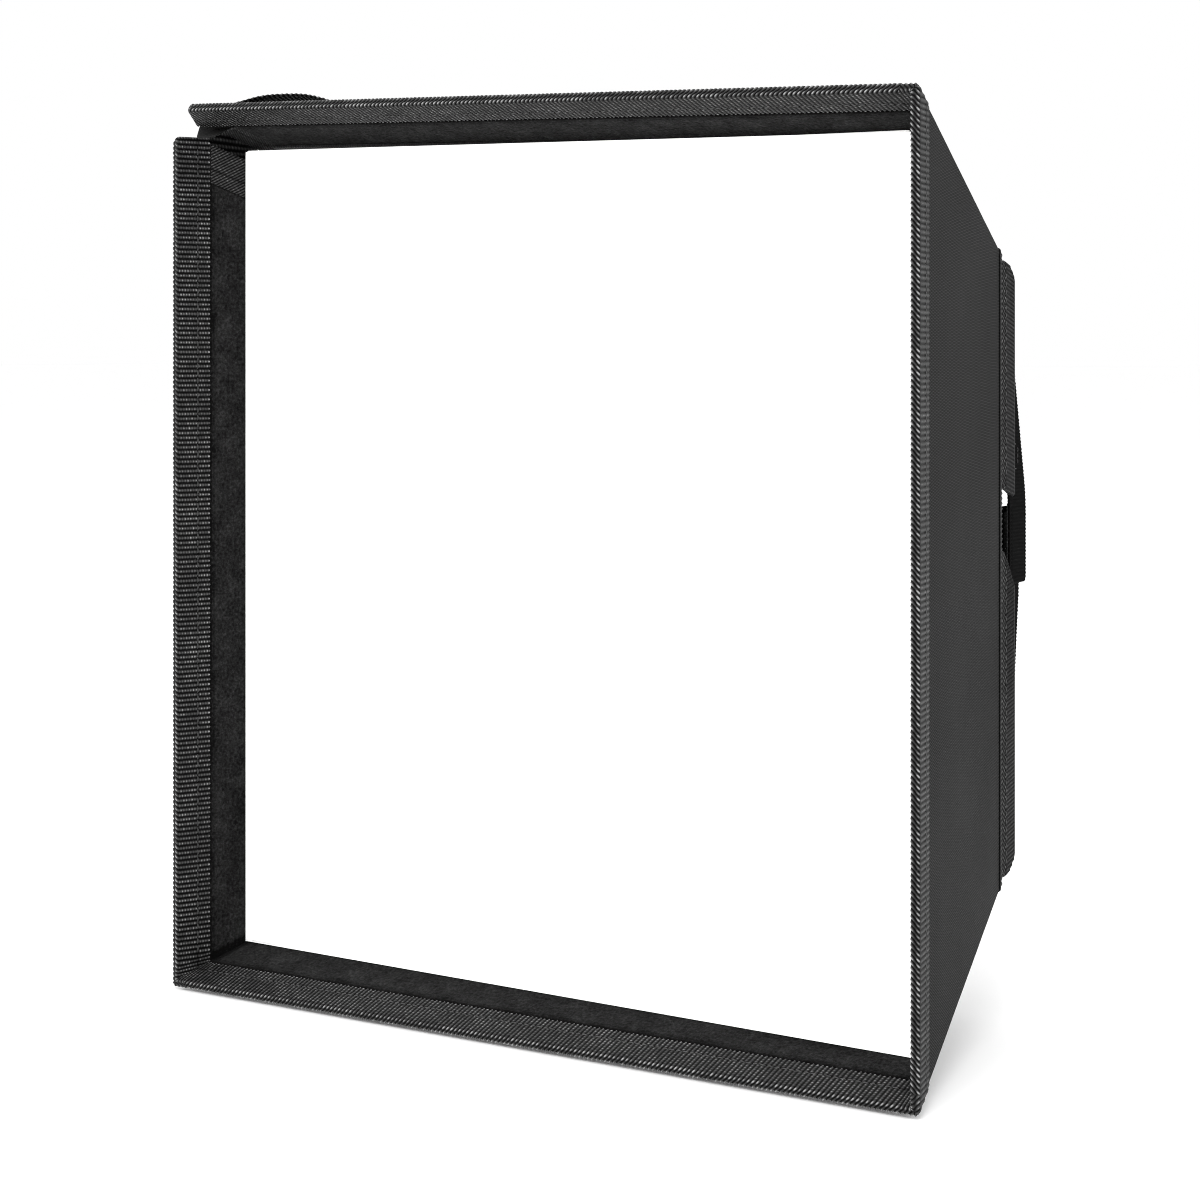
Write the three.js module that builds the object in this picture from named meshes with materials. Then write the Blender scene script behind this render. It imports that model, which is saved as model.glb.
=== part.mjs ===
// Soft barn-door hood for a square panel light.
// Four stiffened fabric leaves flare from a rear collar to a square front rim.
// Three corners are sewn folds, the fourth (upper left) is an open seam that a
// webbing strap closes. A white diffuser sheet clings to loop tape inside the rim.
//
// Millimetres. Front rim faces -Y, the light plugs in from +Y, +Z is up, +X is
// the right-hand side seen from the front. The whole is centred on the origin.

import * as THREE from "three";

// ---------------------------------------------------------------- dimensions
const RIM = 360; // outer side of the square front rim
const DEPTH = 142.5; // front rim to the rear edge of the leaves
const REAR_WIDTH = 270; // outer width at the rear edge
const REAR_HEIGHT = 252.8; // outer height at the rear edge
const HALF_RIM = RIM / 2;

// layers of a leaf: [from, to], measured inward from its outer envelope
const COVER = [0.65, 1.15];
const BOARD = [1.3, 2.3];
const LINING = [2.45, 2.85];
const BINDING_INSIDE = [3.0, 3.5]; // inner leg of the binding webbing
const LOOP = [3.0, 4.0];
const LAYER_GAP = 0.15;
const HEM = 0.75; // cover, board and lining stop this far inside rim, rear and seam edges

const BINDING_WIDTH = 15.5; // each leg of the webbing folded over a rim or seam edge
const BINDING_T = 0.5;
const LOOP_SPAN = [16.2, 52]; // loop tape, along the slope
const LOOP_SEAM_STOP = BINDING_WIDTH * 1.08 + 0.5; // clears the slanting seam binding

const FOLD = "fold"; // marks a leaf end that meets a sewn corner
const FOLD_LEG = 4.7; // width of each leg of a sewn fold
const FOLD_START_GAP = 0.6; // rim binding to the front end of a fold
const FOLD_INSET = 5.4; // cover, board and lining stop here, measured along the rim
const MITRE = 1.0; // a tape stops short of the corner by this share of its depth
const MITRE_GAP = 1.6; // plus this

const LIFT_DEG = 1.85; // the top leaf rides up a little at the open seam
const OPEN_TOP = -1; // the top leaf overhangs the open corner by 1
const OPEN_LEFT = 0.3; // the left leaf stops short of the open corner
const CUT_LEFT = 176.3; // the left rim binding is cut square, level with the floor
const CUT_TOP = [175, 183.5]; // the top rim binding flares: at its fold, and at its selvedge
const SEAM_START_GAP = 5.6; // rim binding to the front end of a seam binding
const EDGE_REAR_GAP = 1; // folds and seam bindings end this far before the rear edge

const FLAP_LENGTH = 16.2; // rear collar flaps
const FLAP_LAYER = [0.4, 2.8];
const FLAP_START = 0.8; // gap from the leaf's rear edge to the flap
const SIDE_FLAP_LEAN_DEG = 8; // inward
const WIDE_FLAP_HALF = 122; // half width of the top and bottom flaps
const WIDE_FLAP_CHAMFER = 5;
const SIDE_FLAP_HALF = REAR_HEIGHT / 2 - 4; // height at which the side flaps end
const NOTCH_UPPER = [33, 28]; // upper flap's lower end, at the leaf and at its tip
const NOTCH_LOWER = [8, -6]; // lower flap's upper end, at the leaf and at its tip

const WEB_REAR = 35.6; // rearmost edge of the retaining webbing, from the leaf
const WEB_FRONT = WEB_REAR - 19; // the webbing is 19 wide
const WEB_LAYER = [3.1, 4.1]; // upper webbing and tongue
const WEB_HOOK_LAYER = [4.25, 5.05];
const WEB_LOOP_LAYER = [5.2, 6.0];
const WEB_INNER = 6.15; // outer face of the lower webbing where it passes the tongue
const WEB_T = 1.0;

const STRAP_WIDTH = 25; // corner strap
const STRAP_T = 1.0;
const STRAP_MID = 32; // its centre line, down the slope from the rim
const STRAP_SEWN_TOP = 135; // height where it is sewn to the left leaf
const STRAP_SEWN_LENGTH = 29;

const SHEET_Y = 29.2; // front face of the diffuser sheet at its left edge
const SHEET_TILT = 5.6; // its right edge clings this much further forward
const SHEET_T = 0.6;
const HOOK_WIDTH = 20; // hook tape on the diffuser's turned-back border
const HOOK_T = 1.0;
const HOOK_SETBACK = 2.2; // hook tape starts this far behind the sheet, on the slope
const HOOK_DEPTH = LOOP[1] + 0.3; // its outer face, clear of the loop tape
const HOOK_FOLD_GAP = 1; // more than the loop tape's mitre
const HOOK_STOP_TOP = 15.5; // where it stops short of the open corner
const HOOK_STOP_LEFT = 14.5;

// ---------------------------------------------------------------- materials
const fabric = (look) => new THREE.MeshStandardMaterial(look);
const OXFORD = fabric({ color: 0x1f1f20, roughness: 0.85 });
const WEBBING = fabric({ color: 0x29292a, roughness: 0.8 });
const LOOP_PILE = fabric({ color: 0x1a1a1b, roughness: 0.97 });
const HOOK_TAPE = fabric({ color: 0x161617, roughness: 0.75 });
const SILVER = fabric({ color: 0xc4c6c8, roughness: 0.45, metalness: 0.25 });
const STIFFENER = fabric({ color: 0x2b2c2e, roughness: 0.6 });
const WHITE = fabric({ color: 0xf4f4f2, roughness: 0.9 });

// ---------------------------------------------------------------- helpers
const vec = (x, y, z) => new THREE.Vector3(x, y, z);
const { degToRad, radToDeg } = THREE.MathUtils;
const model = new THREE.Group();

function addPiece(parent, name, geometry, material) {
  const mesh = new THREE.Mesh(geometry, material);
  mesh.name = name;
  parent.add(mesh);
}

function extrude(points, depth) {
  const shape = new THREE.Shape(points.map(([x, y]) => new THREE.Vector2(x, y)));
  return new THREE.ExtrudeGeometry(shape, { depth, bevelEnabled: false });
}

// A bar along local X. Its profile is a list of [y, z] points, and its ends
// are at x = from(y, z) and x = to(y, z).
function bar(profile, [from, to]) {
  const geometry = extrude(profile, 1);
  const position = geometry.attributes.position;
  for (let i = 0; i < position.count; i++) {
    const y = position.getX(i);
    const z = position.getY(i);
    const share = position.getZ(i);
    position.setXYZ(i, from(y, z) + (to(y, z) - from(y, z)) * share, y, z);
  }
  geometry.computeVertexNormals();
  return geometry;
}

const rect = ([x0, x1], [y0, y1]) => [[x0, y0], [x1, y0], [x1, y1], [x0, y1]];

// a flat plate: outline in local [x, y], thickness from z0 to z1
function plate(outline, [z0, z1]) {
  return extrude(outline, z1 - z0).translate(0, 0, z0);
}

// A band with one cross-section per station. place(index, across, through)
// gives a corner's [x, y, z]; across and through are -0.5 or 0.5.
function band(stationCount, place) {
  const spans = stationCount - 1;
  const geometry = new THREE.BoxGeometry(spans, 1, 1, spans, 1, 1);
  const position = geometry.attributes.position;
  for (let i = 0; i < position.count; i++) {
    const index = Math.round(position.getX(i) + spans / 2);
    position.setXYZ(i, ...place(index, position.getY(i), position.getZ(i)));
  }
  geometry.computeVertexNormals();
  return geometry;
}

// webbing folded over an edge: outer leg, web across the edge, inner leg
const bindingProfile = (webT) => [
  [0, 0], [BINDING_WIDTH, 0], [BINDING_WIDTH, BINDING_T], [webT, BINDING_T],
  [webT, BINDING_INSIDE[0]], [BINDING_WIDTH, BINDING_INSIDE[0]],
  [BINDING_WIDTH, BINDING_INSIDE[1]], [0, BINDING_INSIDE[1]],
];

// ---------------------------------------------------------------- leaf frames
// The trapezium of a leaf that comes in by inset from rim to rear edge.
function leafShape(inset, rearWidth) {
  const length = Math.hypot(inset, DEPTH);
  return {
    inset,
    length, // down the slope
    cosSlope: DEPTH / length,
    sinSlope: inset / length,
    slopeDeg: radToDeg(Math.atan2(inset, DEPTH)),
    halfWidth: (y) => HALF_RIM + ((rearWidth / 2 - HALF_RIM) * y) / length,
  };
}
const SIDE = leafShape((RIM - REAR_WIDTH) / 2, REAR_HEIGHT); // left and right
const LEVEL = leafShape((RIM - REAR_HEIGHT) / 2, REAR_WIDTH); // top and bottom

// In a leaf's frame X runs along the rim, Y down the slope to the rear, and Z
// inward through the leaf's layers. X points right on the bottom leaf, up on
// the right, left on the top and down on the left.
function leafFrame(parent, shape, inward) {
  const rearward = vec(0, shape.cosSlope, 0).addScaledVector(inward, shape.sinSlope);
  const through = vec(0, -shape.sinSlope, 0).addScaledVector(inward, shape.cosSlope);
  const alongRim = new THREE.Vector3().crossVectors(rearward, through);
  const frame = new THREE.Group();
  frame.position.copy(inward).multiplyScalar(-HALF_RIM).sub(parent.position);
  frame.quaternion.setFromRotationMatrix(
    new THREE.Matrix4().makeBasis(alongRim, rearward, through));
  parent.add(frame);
  return frame;
}

// The top leaf hangs from its fold with the right leaf and is lifted about it.
const lifted = new THREE.Group();
lifted.position.set(HALF_RIM, 0, HALF_RIM);
lifted.quaternion.setFromAxisAngle(
  vec(-SIDE.inset, DEPTH, -LEVEL.inset).normalize(), degToRad(LIFT_DEG));

// lo and hi tell how the leaf ends at low and high local X: FOLD at a sewn
// corner, else the millimetres it stops short of the open corner.
function makeLeaf(side, parent, shape, inward, lo, hi) {
  return { side, frame: leafFrame(parent, shape, inward), shape, lo, hi };
}
const bottom = makeLeaf("bottom", model, LEVEL, vec(0, 0, 1), FOLD, FOLD);
const right = makeLeaf("right", model, SIDE, vec(-1, 0, 0), FOLD, FOLD);
const left = makeLeaf("left", model, SIDE, vec(1, 0, 0), OPEN_LEFT, FOLD);
model.add(lifted);
const top = makeLeaf("top", lifted, LEVEL, vec(0, 0, -1), FOLD, OPEN_TOP);

// ---------------------------------------------------------------- leaves
const squareAtFold = () => FOLD_INSET;
const mitreAtFold = (z) => MITRE_GAP + MITRE * z;

// The two end faces of a layer. atFold(z) is its inset at a sewn corner,
// seamInset its extra inset at the open one.
function endFaces({ shape, lo, hi }, atFold, seamInset) {
  const inset = (end, z) => (end === FOLD ? atFold(z) : end + seamInset);
  return [
    (y, z) => -shape.halfWidth(y) + inset(lo, z),
    (y, z) => shape.halfWidth(y) - inset(hi, z),
  ];
}

function addRimBinding(leaf) {
  const ends = endFaces(leaf, mitreAtFold, 0);
  if (leaf.lo !== FOLD) ends[0] = () => -CUT_LEFT;
  if (leaf.hi !== FOLD) {
    ends[1] = (y) => CUT_TOP[0] + ((CUT_TOP[1] - CUT_TOP[0]) * y) / BINDING_WIDTH;
  }
  const profile = bindingProfile(HEM - LAYER_GAP);
  addPiece(leaf.frame, `rim_binding_${leaf.side}`, bar(profile, ends), WEBBING);
}

function addLeaf(leaf) {
  const { side, frame, shape } = leaf;
  const layers = [
    ["outer_cover", COVER, OXFORD],
    ["stiffener_board", BOARD, STIFFENER],
    ["inner_lining", LINING, SILVER],
  ];
  for (const [name, layer, material] of layers) {
    const profile = rect([HEM, shape.length - HEM], layer);
    const ends = endFaces(leaf, squareAtFold, HEM);
    addPiece(frame, `${name}_${side}`, bar(profile, ends), material);
  }
  const loopEnds = endFaces(leaf, mitreAtFold, LOOP_SEAM_STOP);
  addPiece(frame, `loop_tape_${side}`, bar(rect(LOOP_SPAN, LOOP), loopEnds), LOOP_PILE);
  addRimBinding(leaf);
}
for (const leaf of [bottom, right, top, left]) addLeaf(leaf);

// ---------------------------------------------------------------- corner edges
// Sweeps a profile of [across the leaf from the edge, inward] points along the
// leaf's edge, from slope distance start to near the rear. sign picks the edge
// at high (1) or low (-1) local X; inset is the edge's distance from the corner.
function sweepEdge(profile, shape, sign, inset, start) {
  const edgePoint = (y) => vec(sign * (shape.halfWidth(y) - inset), y, 0);
  const from = edgePoint(start);
  const to = edgePoint(shape.length - EDGE_REAR_GAP);
  const along = to.clone().sub(from).normalize();
  const inward = vec(0, 0, 1);
  const across = new THREE.Vector3().crossVectors(inward, along); // towards -X
  const geometry = extrude(profile.map(([x, y]) => [sign * x, y]), from.distanceTo(to));
  return geometry.applyMatrix4(
    new THREE.Matrix4().makeBasis(across, inward, along).setPosition(from));
}

// An angle strip of cover fabric along a closed corner, one leg on this leaf
// and one on its neighbour, which stands at angleDeg to it.
function addCornerFold({ frame, shape }, corner, sign, angleDeg) {
  const angle = degToRad(angleDeg);
  const cos = Math.cos(angle);
  const sin = Math.sin(angle);
  const onNeighbour = (x, z) => [x * cos + z * sin, x * sin - z * cos];
  const [outer, inner] = COVER;
  const crease = (z) => [z / Math.tan(angle / 2), z];
  const profile = [
    [FOLD_LEG, outer], [FOLD_LEG, inner], crease(inner),
    onNeighbour(FOLD_LEG, inner), onNeighbour(FOLD_LEG, outer), crease(outer),
  ];
  const geometry = sweepEdge(profile, shape, sign, 0, BINDING_WIDTH + FOLD_START_GAP);
  addPiece(frame, `corner_fold_${corner}`, geometry, OXFORD);
}
// interior angle between neighbouring leaves, from their outward normals
const CORNER_DEG = 180 - radToDeg(Math.acos(SIDE.sinSlope * LEVEL.sinSlope));
addCornerFold(bottom, "bottom_right", 1, CORNER_DEG);
addCornerFold(bottom, "bottom_left", -1, CORNER_DEG);
addCornerFold(right, "top_right", 1, CORNER_DEG + LIFT_DEG);

// webbing folded over a leaf's free edge at the open seam
function addSeamBinding({ side, frame, shape }, sign, inset) {
  const profile = bindingProfile(BINDING_T);
  const geometry = sweepEdge(profile, shape, sign, inset, BINDING_WIDTH + SEAM_START_GAP);
  addPiece(frame, `seam_binding_${side}`, geometry, WEBBING);
}
addSeamBinding(top, 1, OPEN_TOP);
addSeamBinding(left, -1, OPEN_LEFT);

// ---------------------------------------------------------------- rear collar
// A flap's frame: X along the rear edge, Y rearward, Z inward. leanDeg is the
// flap's own inward slope, so it turns outward from the leaf by the rest.
function flapFrame({ frame, shape }, leanDeg) {
  const flap = new THREE.Group();
  flap.position.set(0, shape.length, 0);
  flap.rotation.x = -degToRad(shape.slopeDeg - leanDeg);
  frame.add(flap);
  return flap;
}

function addWideFlap(leaf) {
  const half = WIDE_FLAP_HALF;
  const chamfer = WIDE_FLAP_CHAMFER;
  const outline = [
    [-half, FLAP_START], [half, FLAP_START],
    [half, FLAP_LENGTH - chamfer], [half - chamfer, FLAP_LENGTH],
    [-half + chamfer, FLAP_LENGTH], [-half, FLAP_LENGTH - chamfer],
  ];
  const geometry = plate(outline, FLAP_LAYER);
  addPiece(flapFrame(leaf, 0), `collar_flap_${leaf.side}`, geometry, WEBBING);
}
addWideFlap(bottom);
addWideFlap(top);

// Outlines of the side collar's plates, as [height, distance rearward].
const UPPER_FLAP = [
  [NOTCH_UPPER[0], FLAP_START], [SIDE_FLAP_HALF, FLAP_START],
  [SIDE_FLAP_HALF, FLAP_LENGTH - 11], [SIDE_FLAP_HALF - 1.6, FLAP_LENGTH - 6],
  [SIDE_FLAP_HALF - 5, FLAP_LENGTH - 2], [SIDE_FLAP_HALF - 10, FLAP_LENGTH],
  [NOTCH_UPPER[1] + 1.5, FLAP_LENGTH], [NOTCH_UPPER[1], FLAP_LENGTH - 1.5],
];
const LOWER_FLAP = [
  [-SIDE_FLAP_HALF, FLAP_START], [NOTCH_LOWER[0], FLAP_START],
  [NOTCH_LOWER[0] - 1, 4], [NOTCH_LOWER[1], FLAP_LENGTH - 1.5],
  [NOTCH_LOWER[1] - 2, FLAP_LENGTH], [-SIDE_FLAP_HALF + 10, FLAP_LENGTH],
  [-SIDE_FLAP_HALF + 5, FLAP_LENGTH - 2], [-SIDE_FLAP_HALF + 1.6, FLAP_LENGTH - 6],
  [-SIDE_FLAP_HALF, FLAP_LENGTH - 11],
];
// sewn under the upper flap, leaning back to clear the yoke pivot
const UPPER_WEB = [
  [27.4, WEB_FRONT], [27.4, WEB_REAR], [103, FLAP_LENGTH], [103, 1.2], [46, WEB_FRONT - 4.6],
];
// the loose tongue below it
const TONGUE = [
  [-7, WEB_FRONT + 1.5], [-5.5, WEB_FRONT], [27, WEB_FRONT],
  [27, WEB_REAR], [-5.5, WEB_REAR], [-7, WEB_REAR - 1.5],
];
const PAD_SPAN = [WEB_FRONT + 1, WEB_REAR - 1];
const HOOK_PAD = rect([-4, 25.5], PAD_SPAN); // inside the tongue
const LOOP_PAD = rect([-8, 22], PAD_SPAN); // outside the lower webbing

// Lower webbing, sewn under the lower flap and passing inside the tongue.
// Stations: [height, front edge, rear edge, outer face].
const LOWER_WEB = [
  [-93, 1.2, FLAP_LENGTH, WEB_LAYER[0]],
  [-82, 1.4, FLAP_LENGTH + 2, WEB_LAYER[0]],
  [-12, WEB_FRONT - 0.6, WEB_REAR, WEB_INNER],
  [24, WEB_FRONT, WEB_REAR, WEB_INNER],
];

// sign turns height into the leaf's own X: 1 on the right leaf, -1 on the left
function lowerWeb(sign) {
  const stations = LOWER_WEB.map(([height, ...rest]) => [sign * height, ...rest]);
  stations.sort((a, b) => a[0] - b[0]);
  return band(stations.length, (index, across, through) => {
    const [x, front, rear, face] = stations[index];
    return [x, across < 0 ? front : rear, through < 0 ? face : face + WEB_T];
  });
}

function addSideCollar(leaf, sign) {
  const flap = flapFrame(leaf, SIDE_FLAP_LEAN_DEG);
  const { side } = leaf;
  const addPlate = (name, outline, layer, material) => {
    const points = outline.map(([height, y]) => [sign * height, y]);
    if (sign < 0) points.reverse(); // keeps the winding
    addPiece(flap, name, plate(points, layer), material);
  };
  addPlate(`collar_flap_${side}_upper`, UPPER_FLAP, FLAP_LAYER, WEBBING);
  addPlate(`collar_flap_${side}_lower`, LOWER_FLAP, FLAP_LAYER, WEBBING);
  addPlate(`retaining_strap_${side}_upper`, UPPER_WEB, WEB_LAYER, WEBBING);
  addPlate(`retaining_tongue_${side}`, TONGUE, WEB_LAYER, WEBBING);
  addPlate(`retaining_hook_pad_${side}`, HOOK_PAD, WEB_HOOK_LAYER, HOOK_TAPE);
  addPiece(flap, `retaining_strap_${side}_lower`, lowerWeb(sign), WEBBING);
  addPlate(`retaining_loop_pad_${side}`, LOOP_PAD, WEB_LOOP_LAYER, LOOP_PILE);
}
addSideCollar(right, 1);
addSideCollar(left, -1);

// ---------------------------------------------------------------- corner strap
// Sewn low on the left leaf, it runs up over the open corner in a slack arc and
// lands on the top leaf. A station is the strap's centre and its turn: its
// width lies along the left leaf's slope at 0 and along the top leaf's at 1.
model.updateMatrixWorld(true);
const slopeOf = ({ frame }) => vec(0, 1, 0).transformDirection(frame.matrixWorld);
const leftSlope = slopeOf(left);
const topSlope = slopeOf(top);

// a point on the strap's line, at height z or world-side x, clear of the leaf by out
const onLeft = (z, out) => ({
  centre: vec(-z, STRAP_MID, -out).applyMatrix4(left.frame.matrixWorld),
  turn: 0,
});
const onTop = (x, out) => ({
  centre: vec(-x, STRAP_MID, -out).applyMatrix4(top.frame.matrixWorld),
  turn: 1,
});
const leftY = onLeft(160, 0).centre.y;
const topY = onTop(-160, 0).centre.y;
const between = (x, z, turn) => ({
  centre: vec(x, leftY * (1 - turn) + topY * turn, z),
  turn,
});

function strap(stations) {
  const last = stations.length - 1;
  const sections = stations.map(({ centre, turn }, i) => {
    const across = leftSlope.clone().lerp(topSlope, turn).normalize();
    const before = stations[Math.max(0, i - 1)].centre;
    const after = stations[Math.min(last, i + 1)].centre;
    const along = after.clone().sub(before).normalize();
    return { centre, across, normal: along.cross(across).normalize() };
  });
  return band(stations.length, (index, acrossShare, throughShare) => {
    const { centre, across, normal } = sections[index];
    return centre.clone()
      .addScaledVector(across, acrossShare * STRAP_WIDTH)
      .addScaledVector(normal, throughShare * STRAP_T);
  });
}

const STRAP_ARC = [
  onLeft(STRAP_SEWN_TOP + 0.4, 0.2), onLeft(146, 0.8), onLeft(153, 1.2), onLeft(162, 1.7),
  between(-174.6, 172, 0.15), between(-175.8, 179, 0.3), between(-174.4, 185.2, 0.5),
  onTop(-167.5, 9.4), onTop(-155, 11.9), onTop(-142, 12.5), onTop(-130, 12),
  onTop(-119, 9.9), onTop(-108, 7.0), onTop(-100, 4.9), onTop(-93, 3.1),
  onTop(-86, 1.9), onTop(-54, 1.9),
];
const STRAP_SEWN_END = [
  onLeft(STRAP_SEWN_TOP - STRAP_SEWN_LENGTH, 0.2), onLeft(STRAP_SEWN_TOP, 0.2),
];
addPiece(model, "corner_strap", strap(STRAP_ARC), WEBBING);
addPiece(model, "corner_strap_sewn_end", strap(STRAP_SEWN_END), WEBBING);

// hook and loop under the strap's landing: span along the rim, half width, layer
function addStrapPatch(name, span, halfWidth, layer, material) {
  const outline = rect(span, [STRAP_MID - halfWidth, STRAP_MID + halfWidth]);
  addPiece(top.frame, name, plate(outline, layer), material);
}
addStrapPatch("corner_hook_pad", [55, 85], 11.5, [-1.25, -0.45], HOOK_TAPE);
addStrapPatch("corner_loop_patch", [50, 92], 13.5, [-0.3, 0.5], LOOP_PILE);

// ---------------------------------------------------------------- diffuser
// A white sheet across the hood, cut to the leaves' inner faces, with hook tape
// on a border turned back along each leaf. forward is how far the sheet's edge
// at this leaf lies ahead of its left edge.
function addHookTape(leaf, forward = 0) {
  const start = (SHEET_Y + SHEET_T - forward) / leaf.shape.cosSlope + HOOK_SETBACK;
  const profile = rect([start, start + HOOK_WIDTH], [HOOK_DEPTH, HOOK_DEPTH + HOOK_T]);
  const ends = endFaces(leaf, (z) => mitreAtFold(z) + HOOK_FOLD_GAP, 0);
  addPiece(leaf.frame, `diffuser_hook_tape_${leaf.side}`, bar(profile, ends), HOOK_TAPE);
}
addHookTape(bottom);
addHookTape(right, SHEET_TILT);
addHookTape({ ...top, hi: HOOK_STOP_TOP });
addHookTape({ ...left, lo: HOOK_STOP_LEFT });

function diffuserSheet() {
  const standoff = HOOK_DEPTH + 0.1; // sheet edge, inward from the leaf's envelope
  const halfAt = (shape, y) =>
    HALF_RIM - (shape.inset * y) / DEPTH - standoff / shape.cosSlope;
  const leftRearY = SHEET_Y + SHEET_T;
  const rightRearY = leftRearY - SHEET_TILT;
  const leftX = halfAt(SIDE, leftRearY);
  const rightX = halfAt(SIDE, rightRearY);
  const leftZ = halfAt(LEVEL, leftRearY);
  const rightZ = halfAt(LEVEL, rightRearY);
  // the upper left corner follows most of the top leaf's lift
  const rise = RIM * Math.tan(degToRad(LIFT_DEG)) * 0.85;
  const outline = [ // [x, z]
    [-leftX, -leftZ], [rightX, -rightZ], [rightX, rightZ - 1.4],
    [-leftX + 1, leftZ + rise - 2.6], [-leftX, leftZ + rise - 3.3],
  ];
  const frontY = (x) => SHEET_Y - (SHEET_TILT * (x + leftX)) / (leftX + rightX);

  // stand the plate up, its thickness along Y
  const geometry = plate(outline, [0, SHEET_T]);
  const position = geometry.attributes.position;
  for (let i = 0; i < position.count; i++) {
    const x = position.getX(i);
    const y = frontY(x) + (SHEET_T - position.getZ(i));
    position.setXYZ(i, x, y, position.getY(i));
  }
  geometry.computeVertexNormals();
  return geometry;
}
addPiece(model, "diffuser_sheet", diffuserSheet(), WHITE);

// ---------------------------------------------------------------- centre it
model.updateMatrixWorld(true);
const bounds = new THREE.Box3().setFromObject(model, true);
model.position.sub(bounds.getCenter(new THREE.Vector3()));
model.updateMatrixWorld(true);

export default model;
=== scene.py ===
import math

import bpy
import numpy as np
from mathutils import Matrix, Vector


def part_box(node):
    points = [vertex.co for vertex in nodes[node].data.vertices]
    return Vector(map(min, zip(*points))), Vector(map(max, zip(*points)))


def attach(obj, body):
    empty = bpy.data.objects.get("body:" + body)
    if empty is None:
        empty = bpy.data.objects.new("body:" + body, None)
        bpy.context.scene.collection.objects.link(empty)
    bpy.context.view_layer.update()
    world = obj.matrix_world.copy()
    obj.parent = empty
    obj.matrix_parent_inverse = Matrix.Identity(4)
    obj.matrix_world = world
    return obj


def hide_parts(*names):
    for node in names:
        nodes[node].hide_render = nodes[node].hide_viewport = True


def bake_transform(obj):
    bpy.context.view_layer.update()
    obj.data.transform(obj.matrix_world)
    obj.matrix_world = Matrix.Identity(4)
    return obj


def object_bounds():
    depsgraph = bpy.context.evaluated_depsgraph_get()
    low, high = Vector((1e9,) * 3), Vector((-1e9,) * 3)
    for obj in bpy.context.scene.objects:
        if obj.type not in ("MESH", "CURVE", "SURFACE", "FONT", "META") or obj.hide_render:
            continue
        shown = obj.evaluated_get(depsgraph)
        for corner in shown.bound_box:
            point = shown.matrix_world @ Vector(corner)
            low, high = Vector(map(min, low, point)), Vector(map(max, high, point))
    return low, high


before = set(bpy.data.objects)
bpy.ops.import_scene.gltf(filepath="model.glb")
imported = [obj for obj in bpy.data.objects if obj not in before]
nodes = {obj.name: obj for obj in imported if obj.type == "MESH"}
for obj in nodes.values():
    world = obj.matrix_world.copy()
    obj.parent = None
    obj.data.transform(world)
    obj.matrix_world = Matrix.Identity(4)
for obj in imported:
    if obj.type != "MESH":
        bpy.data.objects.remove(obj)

CAD_BOX = [list(v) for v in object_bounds()]

# ------------------------------------------------------------------ layout
# All shapes below are written in millimetres in the hood's own layout (front
# rim centre at the origin, front rim towards -Y) and moved onto the packed
# frame with SHIFT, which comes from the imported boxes.
R2, RW, RH, DEPTH = 180.0, 135.0, 126.4, 142.5
L_SIDE = math.hypot(R2 - RW, DEPTH)
L_TOP = math.hypot(R2 - RH, DEPTH)
LIFT = math.radians(1.85)
OPEN_TOP, OPEN_LEFT = -1.0, 0.3
PITCH = 2.0


def unit(v):
    v = np.asarray(v, float)
    return v / np.linalg.norm(v)


def turn(axis, angle):
    x, y, z = unit(axis)
    c, s = math.cos(angle), math.sin(angle)
    k = np.array([[0, -z, y], [z, 0, -x], [-y, x, 0]])
    return np.eye(3) + s * k + (1 - c) * (k @ k)


_low, _high = [np.array(v) * 1000 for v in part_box("rim_binding_bottom")]
SHIFT = np.array([(_low[0] + _high[0]) / 2, _low[1] + 3.5 * (R2 - RH) / L_TOP, _low[2] + R2])


class Leaf:
    """X along the rim, Y down the slope to the rear, Z inward."""

    def __init__(self, name, o, s, n, L, rear):
        self.name, self.o, self.s, self.n, self.L = name, np.array(o, float), unit(s), unit(n), L
        self.x = np.cross(self.s, self.n)
        self.k = (rear - R2) / L
        self.cosg = 1 / math.hypot(1, self.k)

    def w(self, Y):
        return R2 + self.k * Y

    def P(self, X, Y, Z):
        X, Y, Z = np.broadcast_arrays(X, Y, Z)
        return (self.o + X[..., None] * self.x + Y[..., None] * self.s + Z[..., None] * self.n)


sS = unit((RW - R2, DEPTH, 0))
sT = unit((0, DEPTH, RH - R2))
bottom = Leaf("bottom", (0, 0, -R2), (0, sT[1], -sT[2]), (0, sT[2], sT[1]), L_TOP, RW)
right = Leaf("right", (R2, 0, 0), sS, (-sS[1], sS[0], 0), L_SIDE, RH)
left = Leaf("left", (-R2, 0, 0), (-sS[0], sS[1], 0), (sS[1], sS[0], 0), L_SIDE, RH)
top = Leaf("top", (0, 0, R2), sT, (0, sT[2], -sT[1]), L_TOP, RW)
_fold = np.array([R2, 0, R2])
_M = turn((RW - R2, DEPTH, RH - R2), LIFT)
top.o = _fold + _M @ (top.o - _fold)
top.s, top.n = _M @ top.s, _M @ top.n
top.x = np.cross(top.s, top.n)
LEAVES = {"bottom": bottom, "right": right, "top": top, "left": left}
# how each leaf ends at its low and high X: a sewn corner, or an open edge
ENDS = {"bottom": ("fold", "fold"), "right": ("fold", "fold"), "top": ("fold", OPEN_TOP), "left": (OPEN_LEFT, "fold")}
ROUND = 2.2  # outer radius of a sewn corner
CUT_LEFT, CUT_TOP = 176.3, (175.0, 183.5)  # how the rim webbing ends at the open seam
SPAN = 7.0  # arc each side of the corner line


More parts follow.
